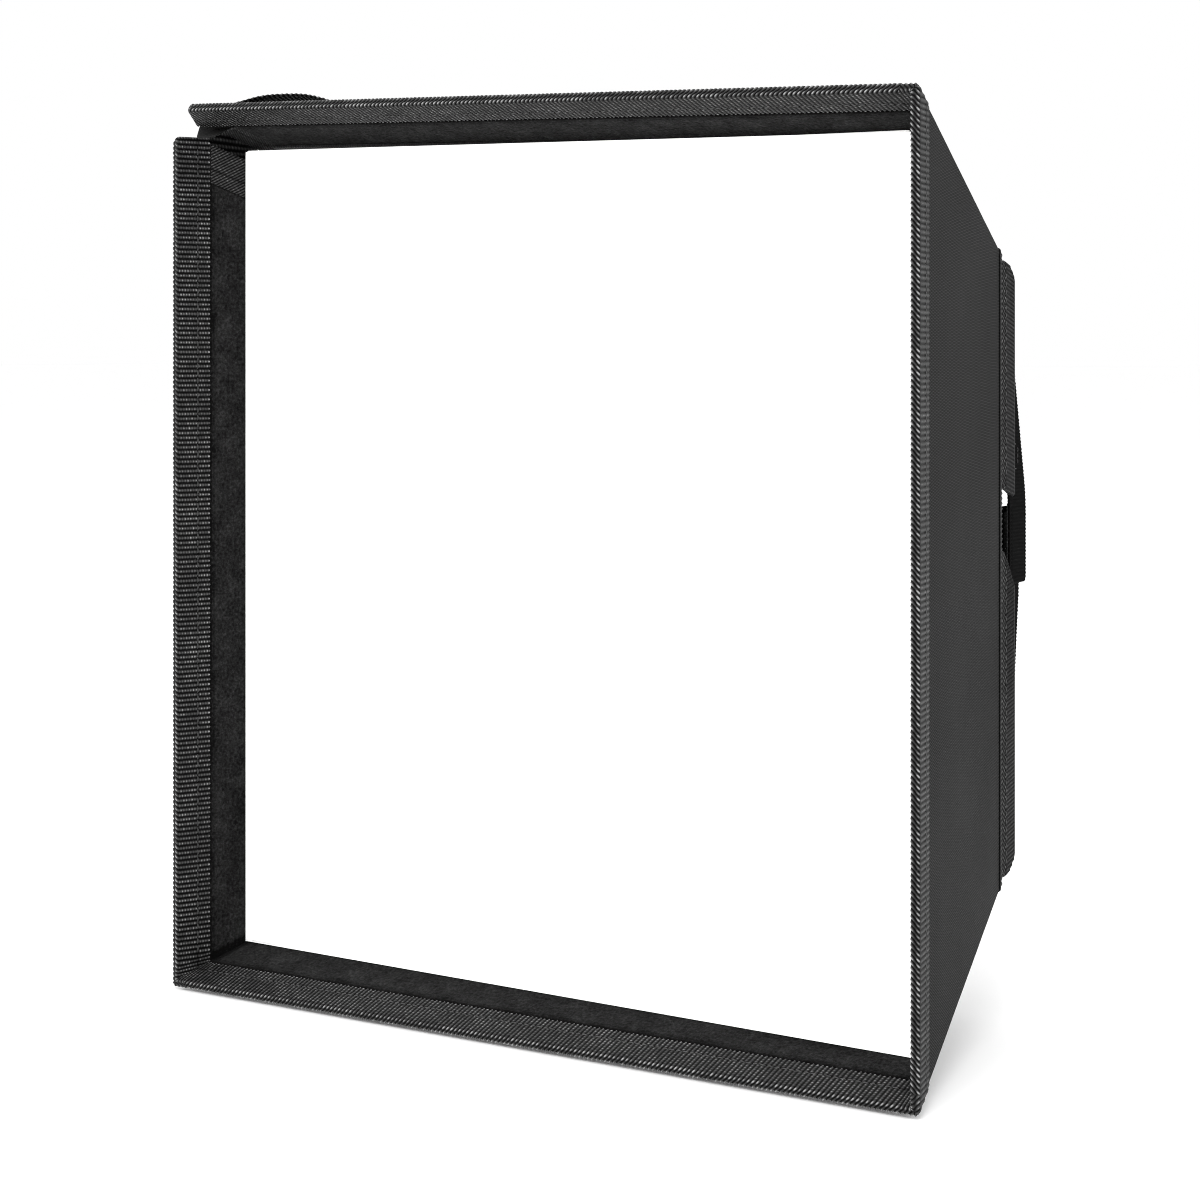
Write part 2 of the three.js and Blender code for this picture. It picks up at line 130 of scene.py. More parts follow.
class Corner:
    """A sewn corner between leaf a (its X end sa) and leaf b (its X end sb)."""

    def __init__(self, a, sa, b, sb):
        self.a, self.b, self.sa, self.sb = a, b, sa, sb
        self.c0 = a.P(np.array(sa * R2), np.array(0.0), np.array(0.0))
        self.d = unit(a.P(np.array(sa * a.w(a.L)), np.array(a.L), np.array(0.0)) - self.c0)
        self.pa = unit(-sa * a.x + (sa * a.x @ self.d) * self.d)
        self.pb = unit(-sb * b.x + (sb * b.x @ self.d) * self.d)
        self.beta = math.acos(np.clip(a.n @ b.n, -1, 1)) / 2
        self.q0 = ROUND * self.beta
        self.t = ROUND * math.tan(self.beta)
        self.off = self.t - self.q0

    def P(self, q, Y, Z):
        """q: arc from the corner line, plus on leaf a; Y: slope distance; Z: depth."""
        q, Y, Z = np.broadcast_arrays(q, Y, Z)
        # inner layers meet in a tight mitre, outer ones in a small round
        rr = np.maximum(ROUND - Z, 0.3)
        aq = np.abs(q)
        phi = np.maximum(0, self.q0 - aq) / self.q0 * self.beta
        tc = (Z + rr) * math.tan(self.beta)
        far = SPAN + self.off
        al = np.where(aq < self.q0, tc - rr * np.sin(phi), tc + (far - tc) * (aq - self.q0) / (SPAN - self.q0))
        de = np.where(aq < self.q0, Z + rr - rr * np.cos(phi), Z)
        ta = (Y - al * (self.pa @ self.a.s)) / (self.d @ self.a.s)
        tb = (Y - al * (self.pb @ self.b.s)) / (self.d @ self.b.s)
        m = np.clip((q + 3.0) / 6.0, 0, 1)
        m = m * m * (3 - 2 * m)
        tau = m * ta + (1 - m) * tb
        perp = np.where((q >= 0)[..., None], self.pa, self.pb)
        nn = np.where((q >= 0)[..., None], self.a.n, self.b.n)
        return self.c0 + tau[..., None] * self.d + al[..., None] * perp + de[..., None] * nn

    def X(self, q, Y):
        """The leaf's own |X| at that place, for the phase of the ribs."""
        al = np.abs(q) + self.off
        return np.where(q >= 0, self.a.w(Y) - al / self.a.cosg, self.b.w(Y) - al / self.b.cosg)


CORNERS = {
    "bottom_right": Corner(bottom, 1, right, -1),
    "bottom_left": Corner(bottom, -1, left, 1),
    "top_right": Corner(right, 1, top, -1),
}


def end_x(leaf, sign, Y, more=0.0):
    """X of the leaf's end on that side at slope distance Y."""
    end = ENDS[leaf.name][0 if sign < 0 else 1]
    if end == "fold":
        corner = CORNERS["bottom_right"]
        return sign * (leaf.w(Y) - (SPAN + corner_off(leaf, sign)) / leaf.cosg)
    return sign * (leaf.w(Y) - end - more)


def rim_end(leaf, sign, Y):
    """The same for the rim webbing, which is cut a little longer."""
    if ENDS[leaf.name][0 if sign < 0 else 1] == "fold":
        return end_x(leaf, sign, Y)
    if leaf is left:
        return sign * (CUT_LEFT + 0 * Y)
    return sign * (CUT_TOP[0] + (CUT_TOP[1] - CUT_TOP[0]) * Y / 15.5)


def inside(leaf, sign, Y, more=0.0):
    """End of the inner layers, kept inside the rim webbing at the open seam."""
    e = end_x(leaf, sign, Y, more)
    if ENDS[leaf.name][0 if sign < 0 else 1] == "fold":
        return e
    cut = np.where(Y < 16.2, np.abs(rim_end(leaf, sign, Y)) - 1.6, 1e6)
    return sign * np.minimum(np.abs(e), cut)


def corner_off(leaf, sign):
    for c in CORNERS.values():
        if (c.a is leaf and c.sa == sign) or (c.b is leaf and c.sb == sign):
            return c.off
    return 0.0


# ------------------------------------------------------------------ noise
def lattice(x, y, seed, smooth=True):
    """Repeatable noise in 0..1 with features one unit wide."""
    t = np.random.RandomState(seed).rand(257, 263)
    x0, y0 = np.floor(x), np.floor(y)
    fx, fy = x - x0, y - y0
    if smooth:
        fx, fy = fx * fx * (3 - 2 * fx), fy * fy * (3 - 2 * fy)
    i0, j0 = x0.astype(int) % 257, y0.astype(int) % 263
    i1, j1 = (i0 + 1) % 257, (j0 + 1) % 263
    return (t[i0, j0] * (1 - fx) + t[i1, j0] * fx) * (1 - fy) + (t[i0, j1] * (1 - fx) + t[i1, j1] * fx) * fy


def cell(i, j, seed):
    t = np.random.RandomState(seed).rand(257, 263)
    return t[np.asarray(i).astype(int) % 257, np.asarray(j).astype(int) % 263]


def fbm(x, y, seed, octaves=3):
    v, a, s = 0, 0.5, 1.0
    for o in range(octaves):
        v = v + a * (lattice(x * s, y * s, seed + o) - 0.5) * 2
        a, s = a / 2, s * 2.03
    return v


def smooth(x, a, b):
    t = np.clip((x - a) / (b - a), 0, 1)
    return t * t * (3 - 2 * t)


# ------------------------------------------------------------------ meshes
def add_mesh(name, co, polys, uv, rib, mat, kinds=None, flip_check=True):
    """co (n,3) in layout mm; polys: list of (index array (k, m)) blocks."""
    co = (np.asarray(co, float) + SHIFT) / 1000
    if flip_check:
        vol = 0.0
        for b in polys:
            p = co[b]
            for k in range(1, b.shape[1] - 1):
                vol += np.einsum("ij,ij->", p[:, 0], np.cross(p[:, k], p[:, k + 1]))
        if vol < 0:
            polys = [b[:, ::-1] for b in polys]
    flat = np.concatenate([b.ravel() for b in polys]).astype(np.int32)
    sizes = np.concatenate([np.full(len(b), b.shape[1]) for b in polys])
    starts = np.concatenate([[0], np.cumsum(sizes)[:-1]]).astype(np.int32)
    me = bpy.data.meshes.new(name)
    me.vertices.add(len(co))
    me.vertices.foreach_set("co", co.astype(np.float32).ravel())
    me.loops.add(len(flat))
    me.polygons.add(len(sizes))
    me.polygons.foreach_set("loop_start", starts)
    me.polygons.foreach_set("vertices", flat)
    me.update(calc_edges=True)
    me.polygons.foreach_set("use_smooth", np.ones(len(sizes), bool))
    if kinds is not None:
        kind = np.concatenate([np.full(len(b), k) for b, k in zip(polys, kinds)])
        le = np.zeros(len(flat), np.int32)
        me.loops.foreach_get("edge_index", le)
        lk = np.repeat(kind, sizes)
        lo = np.full(len(me.edges), 99)
        hi = np.full(len(me.edges), -1)
        np.minimum.at(lo, le, lk)
        np.maximum.at(hi, le, lk)
        at = me.attributes.new("sharp_edge", "BOOLEAN", "EDGE")
        at.data.foreach_set("value", (lo != hi))
    lay = me.uv_layers.new(name="fabric")
    lay.data.foreach_set("uv", np.asarray(uv, np.float32)[flat].ravel())
    ra = me.attributes.new("rib", "FLOAT", "POINT")
    ra.data.foreach_set("value", np.asarray(rib, np.float32))
    me.materials.append(mat)
    me.validate()
    ob = bpy.data.objects.new(name, me)
    bpy.context.scene.collection.objects.link(ob)
    return ob


def grid_faces(m, n, base=0):
    i, j = np.meshgrid(np.arange(m - 1), np.arange(n - 1), indexing="ij")
    a = (i * n + j).ravel() + base
    return np.stack([a, a + n, a + n + 1, a + 1], 1)


def slab(name, topP, botP, uv, rib, mat, k=(1, 1), bot_uv=None):
    """A closed cloth: a dense outer grid topP (m,n,3) and an inner grid botP
    with every k-th row and column of it, joined round the edge."""
    m, n = topP.shape[:2]
    mb, nb = botP.shape[:2]
    ka, kb = k
    assert (m - 1) == (mb - 1) * ka and (n - 1) == (nb - 1) * kb, (name, m, n, mb, nb)
    base = m * n
    T = lambda i, j: i * n + j
    B = lambda i, j: base + i * nb + j
    blocks = [grid_faces(m, n)]
    blocks.append(grid_faces(mb, nb, base)[:, ::-1])
    ia, ib = np.arange(mb - 1)[:, None], np.arange(nb - 1)[:, None]
    sa, sb = np.arange(ka + 1)[None], np.arange(kb + 1)[None]
    blocks.append(np.hstack([T(ia * ka + sa[:, ::-1], 0), B(ia, 0), B(ia + 1, 0)]))
    blocks.append(np.hstack([T(ia * ka + sa, n - 1), B(ia + 1, nb - 1), B(ia, nb - 1)]))
    blocks.append(np.hstack([T(0, ib * kb + sb), B(0, ib + 1), B(0, ib)]))
    blocks.append(np.hstack([T(m - 1, ib * kb + sb[:, ::-1]), B(mb - 1, ib), B(mb - 1, ib + 1)]))
    co = np.vstack([topP.reshape(-1, 3), botP.reshape(-1, 3)])
    if bot_uv is None:
        bot_uv = uv[::ka, ::kb]
    uvs = np.vstack([uv.reshape(-1, 2), bot_uv.reshape(-1, 2)])
    ribs = np.concatenate([rib.ravel(), np.full(mb * nb, 0.25)])
    return add_mesh(name, co, blocks, uvs, ribs, mat, kinds=[0, 1, 2, 2, 2, 2])


def odd(length, step, k):
    """Sample count for a length, one more than a multiple of k."""
    return max(1, int(round(length / step / k))) * k + 1


def done(ob, replaces=(), body=None, blend=None):
    if replaces:
        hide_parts(*replaces)
    if body:
        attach(ob, body)
    if blend:
        a, b, s, e = blend
        tuple((np.array(s) + SHIFT) / 1000)
        tuple((np.array(e) + SHIFT) / 1000)
        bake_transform(ob)
    return ob


# ------------------------------------------------------------------ materials
def nodes_of(name):
    m = bpy.data.materials.new(name)
    m.use_nodes = True
    nt = m.node_tree
    nt.nodes.clear()
    out = nt.nodes.new("ShaderNodeOutputMaterial")
    return m, nt, out


class G:
    """Small helper for building node graphs."""

    def __init__(self, nt):
        self.nt = nt

    def n(self, kind, **kw):
        node = self.nt.nodes.new(kind)
        ins = kw.pop("i", {})
        for a, v in kw.items():
            setattr(node, a, v)
        for key, v in ins.items():
            sock = node.inputs[key]
            if isinstance(v, bpy.types.NodeSocket):
                self.nt.links.new(v, sock)
            else:
                sock.default_value = v
        return node

    def m(self, op, a, b=0.0, c=0.0):
        return self.n("ShaderNodeMath", operation=op, i={0: a, 1: b, 2: c}).outputs[0]

    def mix(self, f, a, b):
        node = self.n("ShaderNodeMix", data_type="RGBA")
        for key, v in ((0, f), (6, a), (7, b)):
            if isinstance(v, bpy.types.NodeSocket):
                self.nt.links.new(v, node.inputs[key])
            elif key == 0:
                node.inputs[0].default_value = v
            else:
                node.inputs[key].default_value = (*v, 1) if len(v) == 3 else v
        return node.outputs[2]

    def uv(self):
        u = self.n("ShaderNodeUVMap", uv_map="fabric")
        s = self.n("ShaderNodeSeparateXYZ", i={0: u.outputs[0]})
        return u.outputs[0], s.outputs[0], s.outputs[1]

    def noise(self, vec, scale, detail=2.0, rough=0.5):
        return self.n("ShaderNodeTexNoise", i={"Vector": vec, "Scale": scale, "Detail": detail, "Roughness": rough}).outputs[0]

    def ramp(self, f, stops):
        r = self.n("ShaderNodeValToRGB")
        el = r.color_ramp.elements
        while len(el) > 1:
            el.remove(el[-1])
        el[0].position, el[0].color = stops[0][0], (*stops[0][1], 1)
        for p, c in stops[1:]:
            e = el.new(p)
            e.color = (*c, 1)
        self.nt.links.new(f, r.inputs[0])
        return r.outputs[0]

    def bsdf(self, **ins):
        names = {"color": "Base Color", "rough": "Roughness", "metal": "Metallic", "spec": "Specular IOR Level",
                 "sheen": "Sheen Weight", "sheen_r": "Sheen Roughness", "normal": "Normal", "sheen_c": "Sheen Tint"}
        return self.n("ShaderNodeBsdfPrincipled", i={names[k]: v for k, v in ins.items()})


def grey(v, warm=0.0):
    return (v * (1 + warm), v, v * (1 - warm))


def mat_webbing(name, gap, mid, tip, rough=0.55, fibre=0.6, spec=0.04, sheen=0.0):
    """Ribbed webbing: painted shade in the gaps between ribs, painted highlights (filament sheen) on the ribs."""
    m, nt, out = nodes_of(name)
    g = G(nt)
    vec, u, v = g.uv()
    rib = g.n("ShaderNodeAttribute", attribute_name="rib").outputs["Fac"]
    obj = g.n("ShaderNodeTexCoord").outputs["Object"]
    broad = g.noise(obj, 22.0, 3.0)
    # filaments run along the ribs, across the tape
    st = g.n("ShaderNodeVectorMath", operation="MULTIPLY", i={0: vec, 1: (7.0, 1.4, 1.0)}).outputs[0]
    fil = g.noise(st, 1.0, 2.0, 0.6)
    f = g.m("ADD", rib, g.m("MULTIPLY", g.m("SUBTRACT", fil, 0.5), 0.30))
    # painted light: the rib value picks painted shade (gap) in the gaps and a painted highlight (tip) on the bead tops
    base = g.ramp(f, [(0.08, grey(gap)), (0.35, grey(mid * 0.55)), (0.6, grey(mid)), (0.95, grey(tip))])
    shade = g.m("ADD", 0.72, g.m("MULTIPLY", broad, 0.56))
    col = g.n("ShaderNodeMix", data_type="RGBA", blend_type="MULTIPLY", i={0: 1.0})
    nt.links.new(base, col.inputs[6])
    comb = g.n("ShaderNodeCombineColor", i={0: shade, 1: shade, 2: shade}).outputs[0]
    nt.links.new(comb, col.inputs[7])
    bump = g.n("ShaderNodeBump", i={"Strength": fibre, "Distance": 0.00012, "Height": fil}).outputs[0]
    r = g.m("ADD", rough, g.m("MULTIPLY", g.m("SUBTRACT", fil, 0.5), 0.25))
    b = g.bsdf(color=col.outputs[2], rough=r, spec=spec, sheen=sheen, sheen_r=0.4, normal=bump)
    nt.links.new(b.outputs[0], out.inputs[0])
    return m


def mat_oxford(name, pitch=(1.15, 2.3)):
    """Coated basket-weave cloth."""
    m, nt, out = nodes_of(name)
    g = G(nt)
    vec, u, v = g.uv()
    obj = g.n("ShaderNodeTexCoord").outputs["Object"]
    wob = g.m("MULTIPLY", g.m("SUBTRACT", g.noise(vec, 0.35, 2.0), 0.5), 0.28)
    cu = g.m("SINE", g.m("MULTIPLY", g.m("ADD", u, wob), 2 * math.pi / pitch[0]))
    cv = g.m("SINE", g.m("MULTIPLY", g.m("ADD", v, wob), 2 * math.pi / pitch[1]))
    w = g.m("MULTIPLY", cu, cv)
    h = g.m("ADD", 0.5, g.m("MULTIPLY", w, 0.5))
    broad = g.noise(obj, 14.0, 4.0)
    yarn = g.noise(vec, 2.6, 2.0, 0.6)
    f = g.m("ADD", h, g.m("MULTIPLY", g.m("SUBTRACT", yarn, 0.5), 0.35))
    base = g.ramp(f, [(0.0, grey(0.0006)), (0.42, grey(0.0035)), (0.72, grey(0.016)), (1.0, grey(0.046))])
    shade = g.m("ADD", 0.8, g.m("MULTIPLY", broad, 0.4))
    comb = g.n("ShaderNodeCombineColor", i={0: shade, 1: shade, 2: shade}).outputs[0]
    col = g.n("ShaderNodeMix", data_type="RGBA", blend_type="MULTIPLY", i={0: 1.0})
    nt.links.new(base, col.inputs[6])
    nt.links.new(comb, col.inputs[7])
    bump = g.n("ShaderNodeBump", i={"Strength": 0.55, "Distance": 0.00018, "Height": h}).outputs[0]
    b = g.bsdf(color=col.outputs[2], rough=g.m("ADD", 0.5, g.m("MULTIPLY", broad, 0.2)), spec=0.03, normal=bump)
    nt.links.new(b.outputs[0], out.inputs[0])
    return m


def mat_pile(name, dark=0.002, light=0.034, scale=0.85):
    """Brushed loop pile, matte and fuzzy; low pile gets painted shade through the rib value."""
    m, nt, out = nodes_of(name)
    g = G(nt)
    vec, u, v = g.uv()
    rib = g.n("ShaderNodeAttribute", attribute_name="rib").outputs["Fac"]
    n1 = g.noise(vec, scale, 4.0, 0.7)
    n2 = g.noise(vec, 0.09, 3.0)
    f = g.m("ADD", g.m("MULTIPLY", rib, 0.5), g.m("ADD", g.m("MULTIPLY", g.m("SUBTRACT", n1, 0.5), 1.1), g.m("MULTIPLY", n2, 0.4)))
    base = g.ramp(f, [(0.25, grey(dark)), (0.5, grey((dark + light) / 2.8)), (0.8, grey(light))])
    bump = g.n("ShaderNodeBump", i={"Strength": 0.9, "Distance": 0.0004, "Height": n1}).outputs[0]
    b = g.bsdf(color=base, rough=0.95, spec=0.03, sheen=0.02, sheen_r=0.5, normal=bump)
    nt.links.new(b.outputs[0], out.inputs[0])
    return m


def mat_hook(name):
    """Woven hook tape: rows of tiny hooks."""
    m, nt, out = nodes_of(name)
    g = G(nt)
    vec, u, v = g.uv()
    vor = g.n("ShaderNodeTexVoronoi", i={"Vector": vec, "Scale": 0.75, "Randomness": 0.35}).outputs[0]
    n1 = g.noise(vec, 0.5, 3.0)
    f = g.m("ADD", g.m("MULTIPLY", vor, 0.9), g.m("MULTIPLY", n1, 0.3))
    base = g.ramp(f, [(0.15, grey(0.05)), (0.45, grey(0.016)), (0.9, grey(0.005))])
    bump = g.n("ShaderNodeBump", i={"Strength": 0.8, "Distance": 0.0005, "Height": g.m("SUBTRACT", 1.0, vor)}).outputs[0]
    b = g.bsdf(color=base, rough=g.m("ADD", 0.42, g.m("MULTIPLY", n1, 0.2)), spec=0.2, normal=bump)
    nt.links.new(b.outputs[0], out.inputs[0])
    return m


def mat_silver(name):
    """Silver-coated lining with a fine rip-stop grid and creases."""
    m, nt, out = nodes_of(name)
    g = G(nt)
    vec, u, v = g.uv()
    obj = g.n("ShaderNodeTexCoord").outputs["Object"]
    crease = g.noise(obj, 38.0, 5.0, 0.62)
    cu = g.m("ABSOLUTE", g.m("SINE", g.m("MULTIPLY", u, math.pi / 2.4)))
    cv = g.m("ABSOLUTE", g.m("SINE", g.m("MULTIPLY", v, math.pi / 2.4)))
    rip = g.m("MINIMUM", g.m("MULTIPLY", cu, 4.0), g.m("MULTIPLY", cv, 4.0))
    rip = g.m("MINIMUM", rip, 1.0)
    base = g.mix(g.m("MULTIPLY", crease, 0.8), grey(0.50), grey(0.33))
    col = g.mix(rip, grey(0.38), base)
    h = g.m("ADD", g.m("MULTIPLY", crease, 1.4), g.m("MULTIPLY", rip, -0.08))
    bump = g.n("ShaderNodeBump", i={"Strength": 0.45, "Distance": 0.0012, "Height": h}).outputs[0]
    b = g.bsdf(color=col, rough=g.m("ADD", 0.34, g.m("MULTIPLY", crease, 0.22)), metal=0.55, spec=0.5, normal=bump)
    # in front of the loop tape the facing is plain black cloth
    w = g.m("MULTIPLY", g.m("SINE", g.m("MULTIPLY", u, 5.4)), g.m("SINE", g.m("MULTIPLY", v, 5.4)))
    black = g.bsdf(color=g.mix(g.m("ADD", 0.5, g.m("MULTIPLY", w, 0.5)), grey(0.003), grey(0.02)), rough=0.8, spec=0.03)
    mx = g.n("ShaderNodeMixShader", i={0: g.m("GREATER_THAN", v, 50.0), 1: black.outputs[0], 2: b.outputs[0]})
    nt.links.new(mx.outputs[0], out.inputs[0])
    return m


def mat_board(name):
    """Semi-rigid plastic sheet with a leather-like calender grain."""
    m, nt, out = nodes_of(name)
    g = G(nt)
    obj = g.n("ShaderNodeTexCoord").outputs["Object"]
    n1 = g.noise(obj, 900.0, 3.0, 0.6)
    n2 = g.noise(obj, 18.0, 3.0)
    base = g.mix(n2, grey(0.022), grey(0.042))
    bump = g.n("ShaderNodeBump", i={"Strength": 0.25, "Distance": 0.0002, "Height": n1}).outputs[0]
    b = g.bsdf(color=base, rough=g.m("ADD", 0.42, g.m("MULTIPLY", n1, 0.25)), spec=0.45, normal=bump)
    nt.links.new(b.outputs[0], out.inputs[0])
    return m


def mat_diffuser(name):
    """White diffusion cloth: fine plain weave that lets light through."""
    m, nt, out = nodes_of(name)
    g = G(nt)
    vec, u, v = g.uv()
    cu = g.m("SINE", g.m("MULTIPLY", u, 2 * math.pi / 0.8))
    cv = g.m("SINE", g.m("MULTIPLY", v, 2 * math.pi / 0.8))
    w = g.m("ADD", 0.5, g.m("MULTIPLY", g.m("MULTIPLY", cu, cv), 0.5))
    slub = g.noise(vec, 0.08, 4.0)
    col = g.mix(g.m("ADD", g.m("MULTIPLY", w, 0.5), g.m("MULTIPLY", slub, 0.4)), (0.90, 0.90, 0.895), (0.955, 0.955, 0.95))
    bump = g.n("ShaderNodeBump", i={"Strength": 0.25, "Distance": 0.0002, "Height": w}).outputs[0]
    b = g.bsdf(color=col, rough=g.m("ADD", 0.75, g.m("MULTIPLY", slub, 0.2)), spec=0.2, sheen=0.1, normal=bump)
    tr = g.n("ShaderNodeBsdfTranslucent", i={"Color": col, "Normal": bump})
    # painted glow: a faint emission stands in for the light that shines through the cloth from behind, so it looks
    # evenly white
    b.inputs["Emission Color"].default_value = (1, 1, 1, 1)
    b.inputs["Emission Strength"].default_value = 0.22
    mx = g.n("ShaderNodeMixShader", i={0: 0.2, 1: b.outputs[0], 2: tr.outputs[0]})
    nt.links.new(mx.outputs[0], out.inputs[0])
    return m


def mat_thread(name, c=0.05):
    """Bonded sewing thread with its twist."""
    m, nt, out = nodes_of(name)
    g = G(nt)
    vec, u, v = g.uv()
    tw = g.m("SINE", g.m("MULTIPLY", g.m("ADD", u, v), 9.0))
    n = g.noise(vec, 2.0, 2.0)
    base = g.mix(g.m("ADD", g.m("MULTIPLY", tw, 0.25), g.m("MULTIPLY", n, 0.7)), grey(c * 0.5), grey(c * 1.7))
    bump = g.n("ShaderNodeBump", i={"Strength": 0.5, "Distance": 0.0001, "Height": tw}).outputs[0]
    b = g.bsdf(color=base, rough=g.m("ADD", 0.36, g.m("MULTIPLY", n, 0.2)), spec=0.5, sheen=0.1, normal=bump)
    nt.links.new(b.outputs[0], out.inputs[0])
    return m


BINDING = mat_webbing("binding_webbing", 0.0012, 0.056, 0.29, rough=0.45)
STRAP = mat_webbing("strap_webbing", 0.0015, 0.055, 0.20, rough=0.5)
# painted shade: a much darker copy of the strap webbing for the retaining straps, which are seen in shadow
STRAP_IN_SHADE = mat_webbing("strap_webbing_painted_shade", 0.0005, 0.003, 0.010, rough=0.7, spec=0.02)
FLAP = mat_webbing("collar_webbing", 0.0015, 0.040, 0.18, rough=0.5)
OXFORD = mat_oxford("oxford_cloth")
PILE = mat_pile("loop_pile")
HOOK = mat_hook("hook_tape")
SILVER = mat_silver("silver_lining")
BOARD = mat_board("stiffener_sheet")
DIFFUSER = mat_diffuser("diffuser_cloth")
THREAD = mat_thread("sewing_thread")
WHITE_THREAD = mat_thread("white_thread", 0.5)

# ------------------------------------------------------------------ webbing weave
def weave(x, u, p=PITCH, bead=1.3, slant=None, seed=11, low=0.22, high=0.16, stitch=None, beads=0.14, brick=0.5, flat=0.0):
    """Height (mm) and brightness of ribbed webbing. Ribs lie across the tape,
    one every p along x; each is a row of beads along u. The brightness holds painted
    highlights on rib and bead tops and painted shade in the gaps and stitch lines."""
    psi = x / p + (0 if slant is None else slant)
    row = np.round(psi)
    r = np.cos(np.pi * (psi - row)) ** 2
    r = r ** 0.75
    ub = u / bead + brick * (row % 2)
    col = np.round(ub)
    b = np.cos(np.pi * (ub - col)) ** 2
    rnd = cell(row + 700, col + 700, seed)
    h = -low + r * (low + high - beads * (1 - b))
    # painted highlight on rib and bead tops, painted shade in the gaps; the random factor per bead is real tone
    rib = (r ** 1.6) * ((1 - flat) * (0.30 + 0.70 * b ** 1.3 * (0.55 + 0.6 * rnd)) + flat * (0.52 + 0.16 * rnd))
    rib = rib * (0.86 + 0.28 * lattice(x / 9.0, u / 5.0, seed + 5))
    if stitch is not None:
        for s in stitch:
            q = np.exp(-(((u - s) / 0.42) ** 2))
            h = h - 0.20 * q
            # painted shade along the pressed stitch line
            rib = rib * (1 - 0.62 * q)
    return h, np.clip(rib, 0, 1)


# ------------------------------------------------------------------ U bindings
class UPath:
    """Webbing folded round an edge: outer leg, edge, inner leg. y is measured
    from the folded edge into the leaf, z from the outer face inward."""

    def __init__(self, outer, inner, z0, z1, r, step, k):
        flat = (z1 - z0) - 2 * r
        self.segs = [outer - r, math.pi / 2 * r, flat, math.pi / 2 * r, inner - r]
        self.total = sum(self.segs)
        n = odd(self.total, step, k)
        self.u = np.linspace(0, self.total, n)
        c = np.cumsum([0] + self.segs)
        self.c = c
        y, z, ny, nz = (np.zeros(n) for _ in range(4))
        for i, u in enumerate(self.u):
            if u <= c[1]:
                y[i], z[i], ny[i], nz[i] = outer - u, z0, 0, -1
            elif u <= c[2]:
                a = (u - c[1]) / r
                y[i], z[i], ny[i], nz[i] = r - r * math.sin(a), z0 + r - r * math.cos(a), -math.sin(a), -math.cos(a)
            elif u <= c[3]:
                y[i], z[i], ny[i], nz[i] = 0, z0 + r + (u - c[2]), -1, 0
            elif u <= c[4]:
                a = (u - c[3]) / r
                y[i], z[i], ny[i], nz[i] = r - r * math.cos(a), z1 - r + r * math.sin(a), -math.cos(a), math.sin(a)
            else:
                y[i], z[i], ny[i], nz[i] = r + (u - c[4]), z1, 0, 1
        self.y, self.z, self.ny, self.nz = y, z, ny, nz
        self.web0, self.web1 = c[1], c[4]
        self.mid = (z0 + z1) / 2
        self.slant = -2.0 * smooth(self.u, c[1], c[4])
        # the outermost threads of the tape sit a little lower
        self.drop = 0.16 * (1 - smooth(self.u, 0, 0.6)) + 0.16 * smooth(self.u, self.total - 0.6, self.total)


RIM_PATH = UPath(15.5, 15.5, 0.0, 3.5, 1.0, 0.36, 6)
HEM_PATH = UPath(3.6, 3.6, 0.05, 3.35, 0.9, 0.5, 3)


def u_height(path, X, seed, stitch, scallop):
    u = path.u[None, :]
    zone = smooth(u, path.web0 - 0.3, path.web0 + 0.5) * (1 - smooth(u, path.web1 - 0.5, path.web1 + 0.3))
    h1, r1 = weave(X, u + 0 * X, slant=path.slant[None, :] + 0 * X, seed=seed, stitch=stitch)
    # over the edge each rib becomes two slanting beads
    um = 0.5 * (path.web0 + path.web1)
    h2, r2 = weave(X, u - um + 1.15 + 0 * X, bead=2.3, slant=path.slant[None, :] + 0 * X, seed=seed + 40, beads=0.42, high=0.42, low=0.40, brick=0.0)
    r2 = np.clip(r2 * 1.15, 0, 1)
    # the outer leg shows smooth ribs
    outer = 1 - smooth(u, path.web0 - 1.2, path.web0 - 0.2)
    h3, r3 = weave(X, u + 0 * X, slant=path.slant[None, :] + 0 * X, seed=seed + 80, stitch=stitch, beads=0.05, flat=0.8)
    h1, r1 = h1 * (1 - outer) + h3 * outer, r1 * (1 - outer) + r3 * outer
    h, rib = h1 * (1 - zone) + h2 * zone, r1 * (1 - zone) + r2 * zone
    h = h - path.drop[None, :]
    edge = smooth(u, path.total - 1.3, path.total - 0.1) * scallop
    ph = np.cos(2 * np.pi * (X / PITCH))
    out = edge * (0.10 + 0.28 * ph)
    # painted highlight on the bulges of the scalloped edge
    rib = np.clip(rib + edge * 0.25 * np.clip(ph, 0, 1), 0, 1)
    return h, rib, out


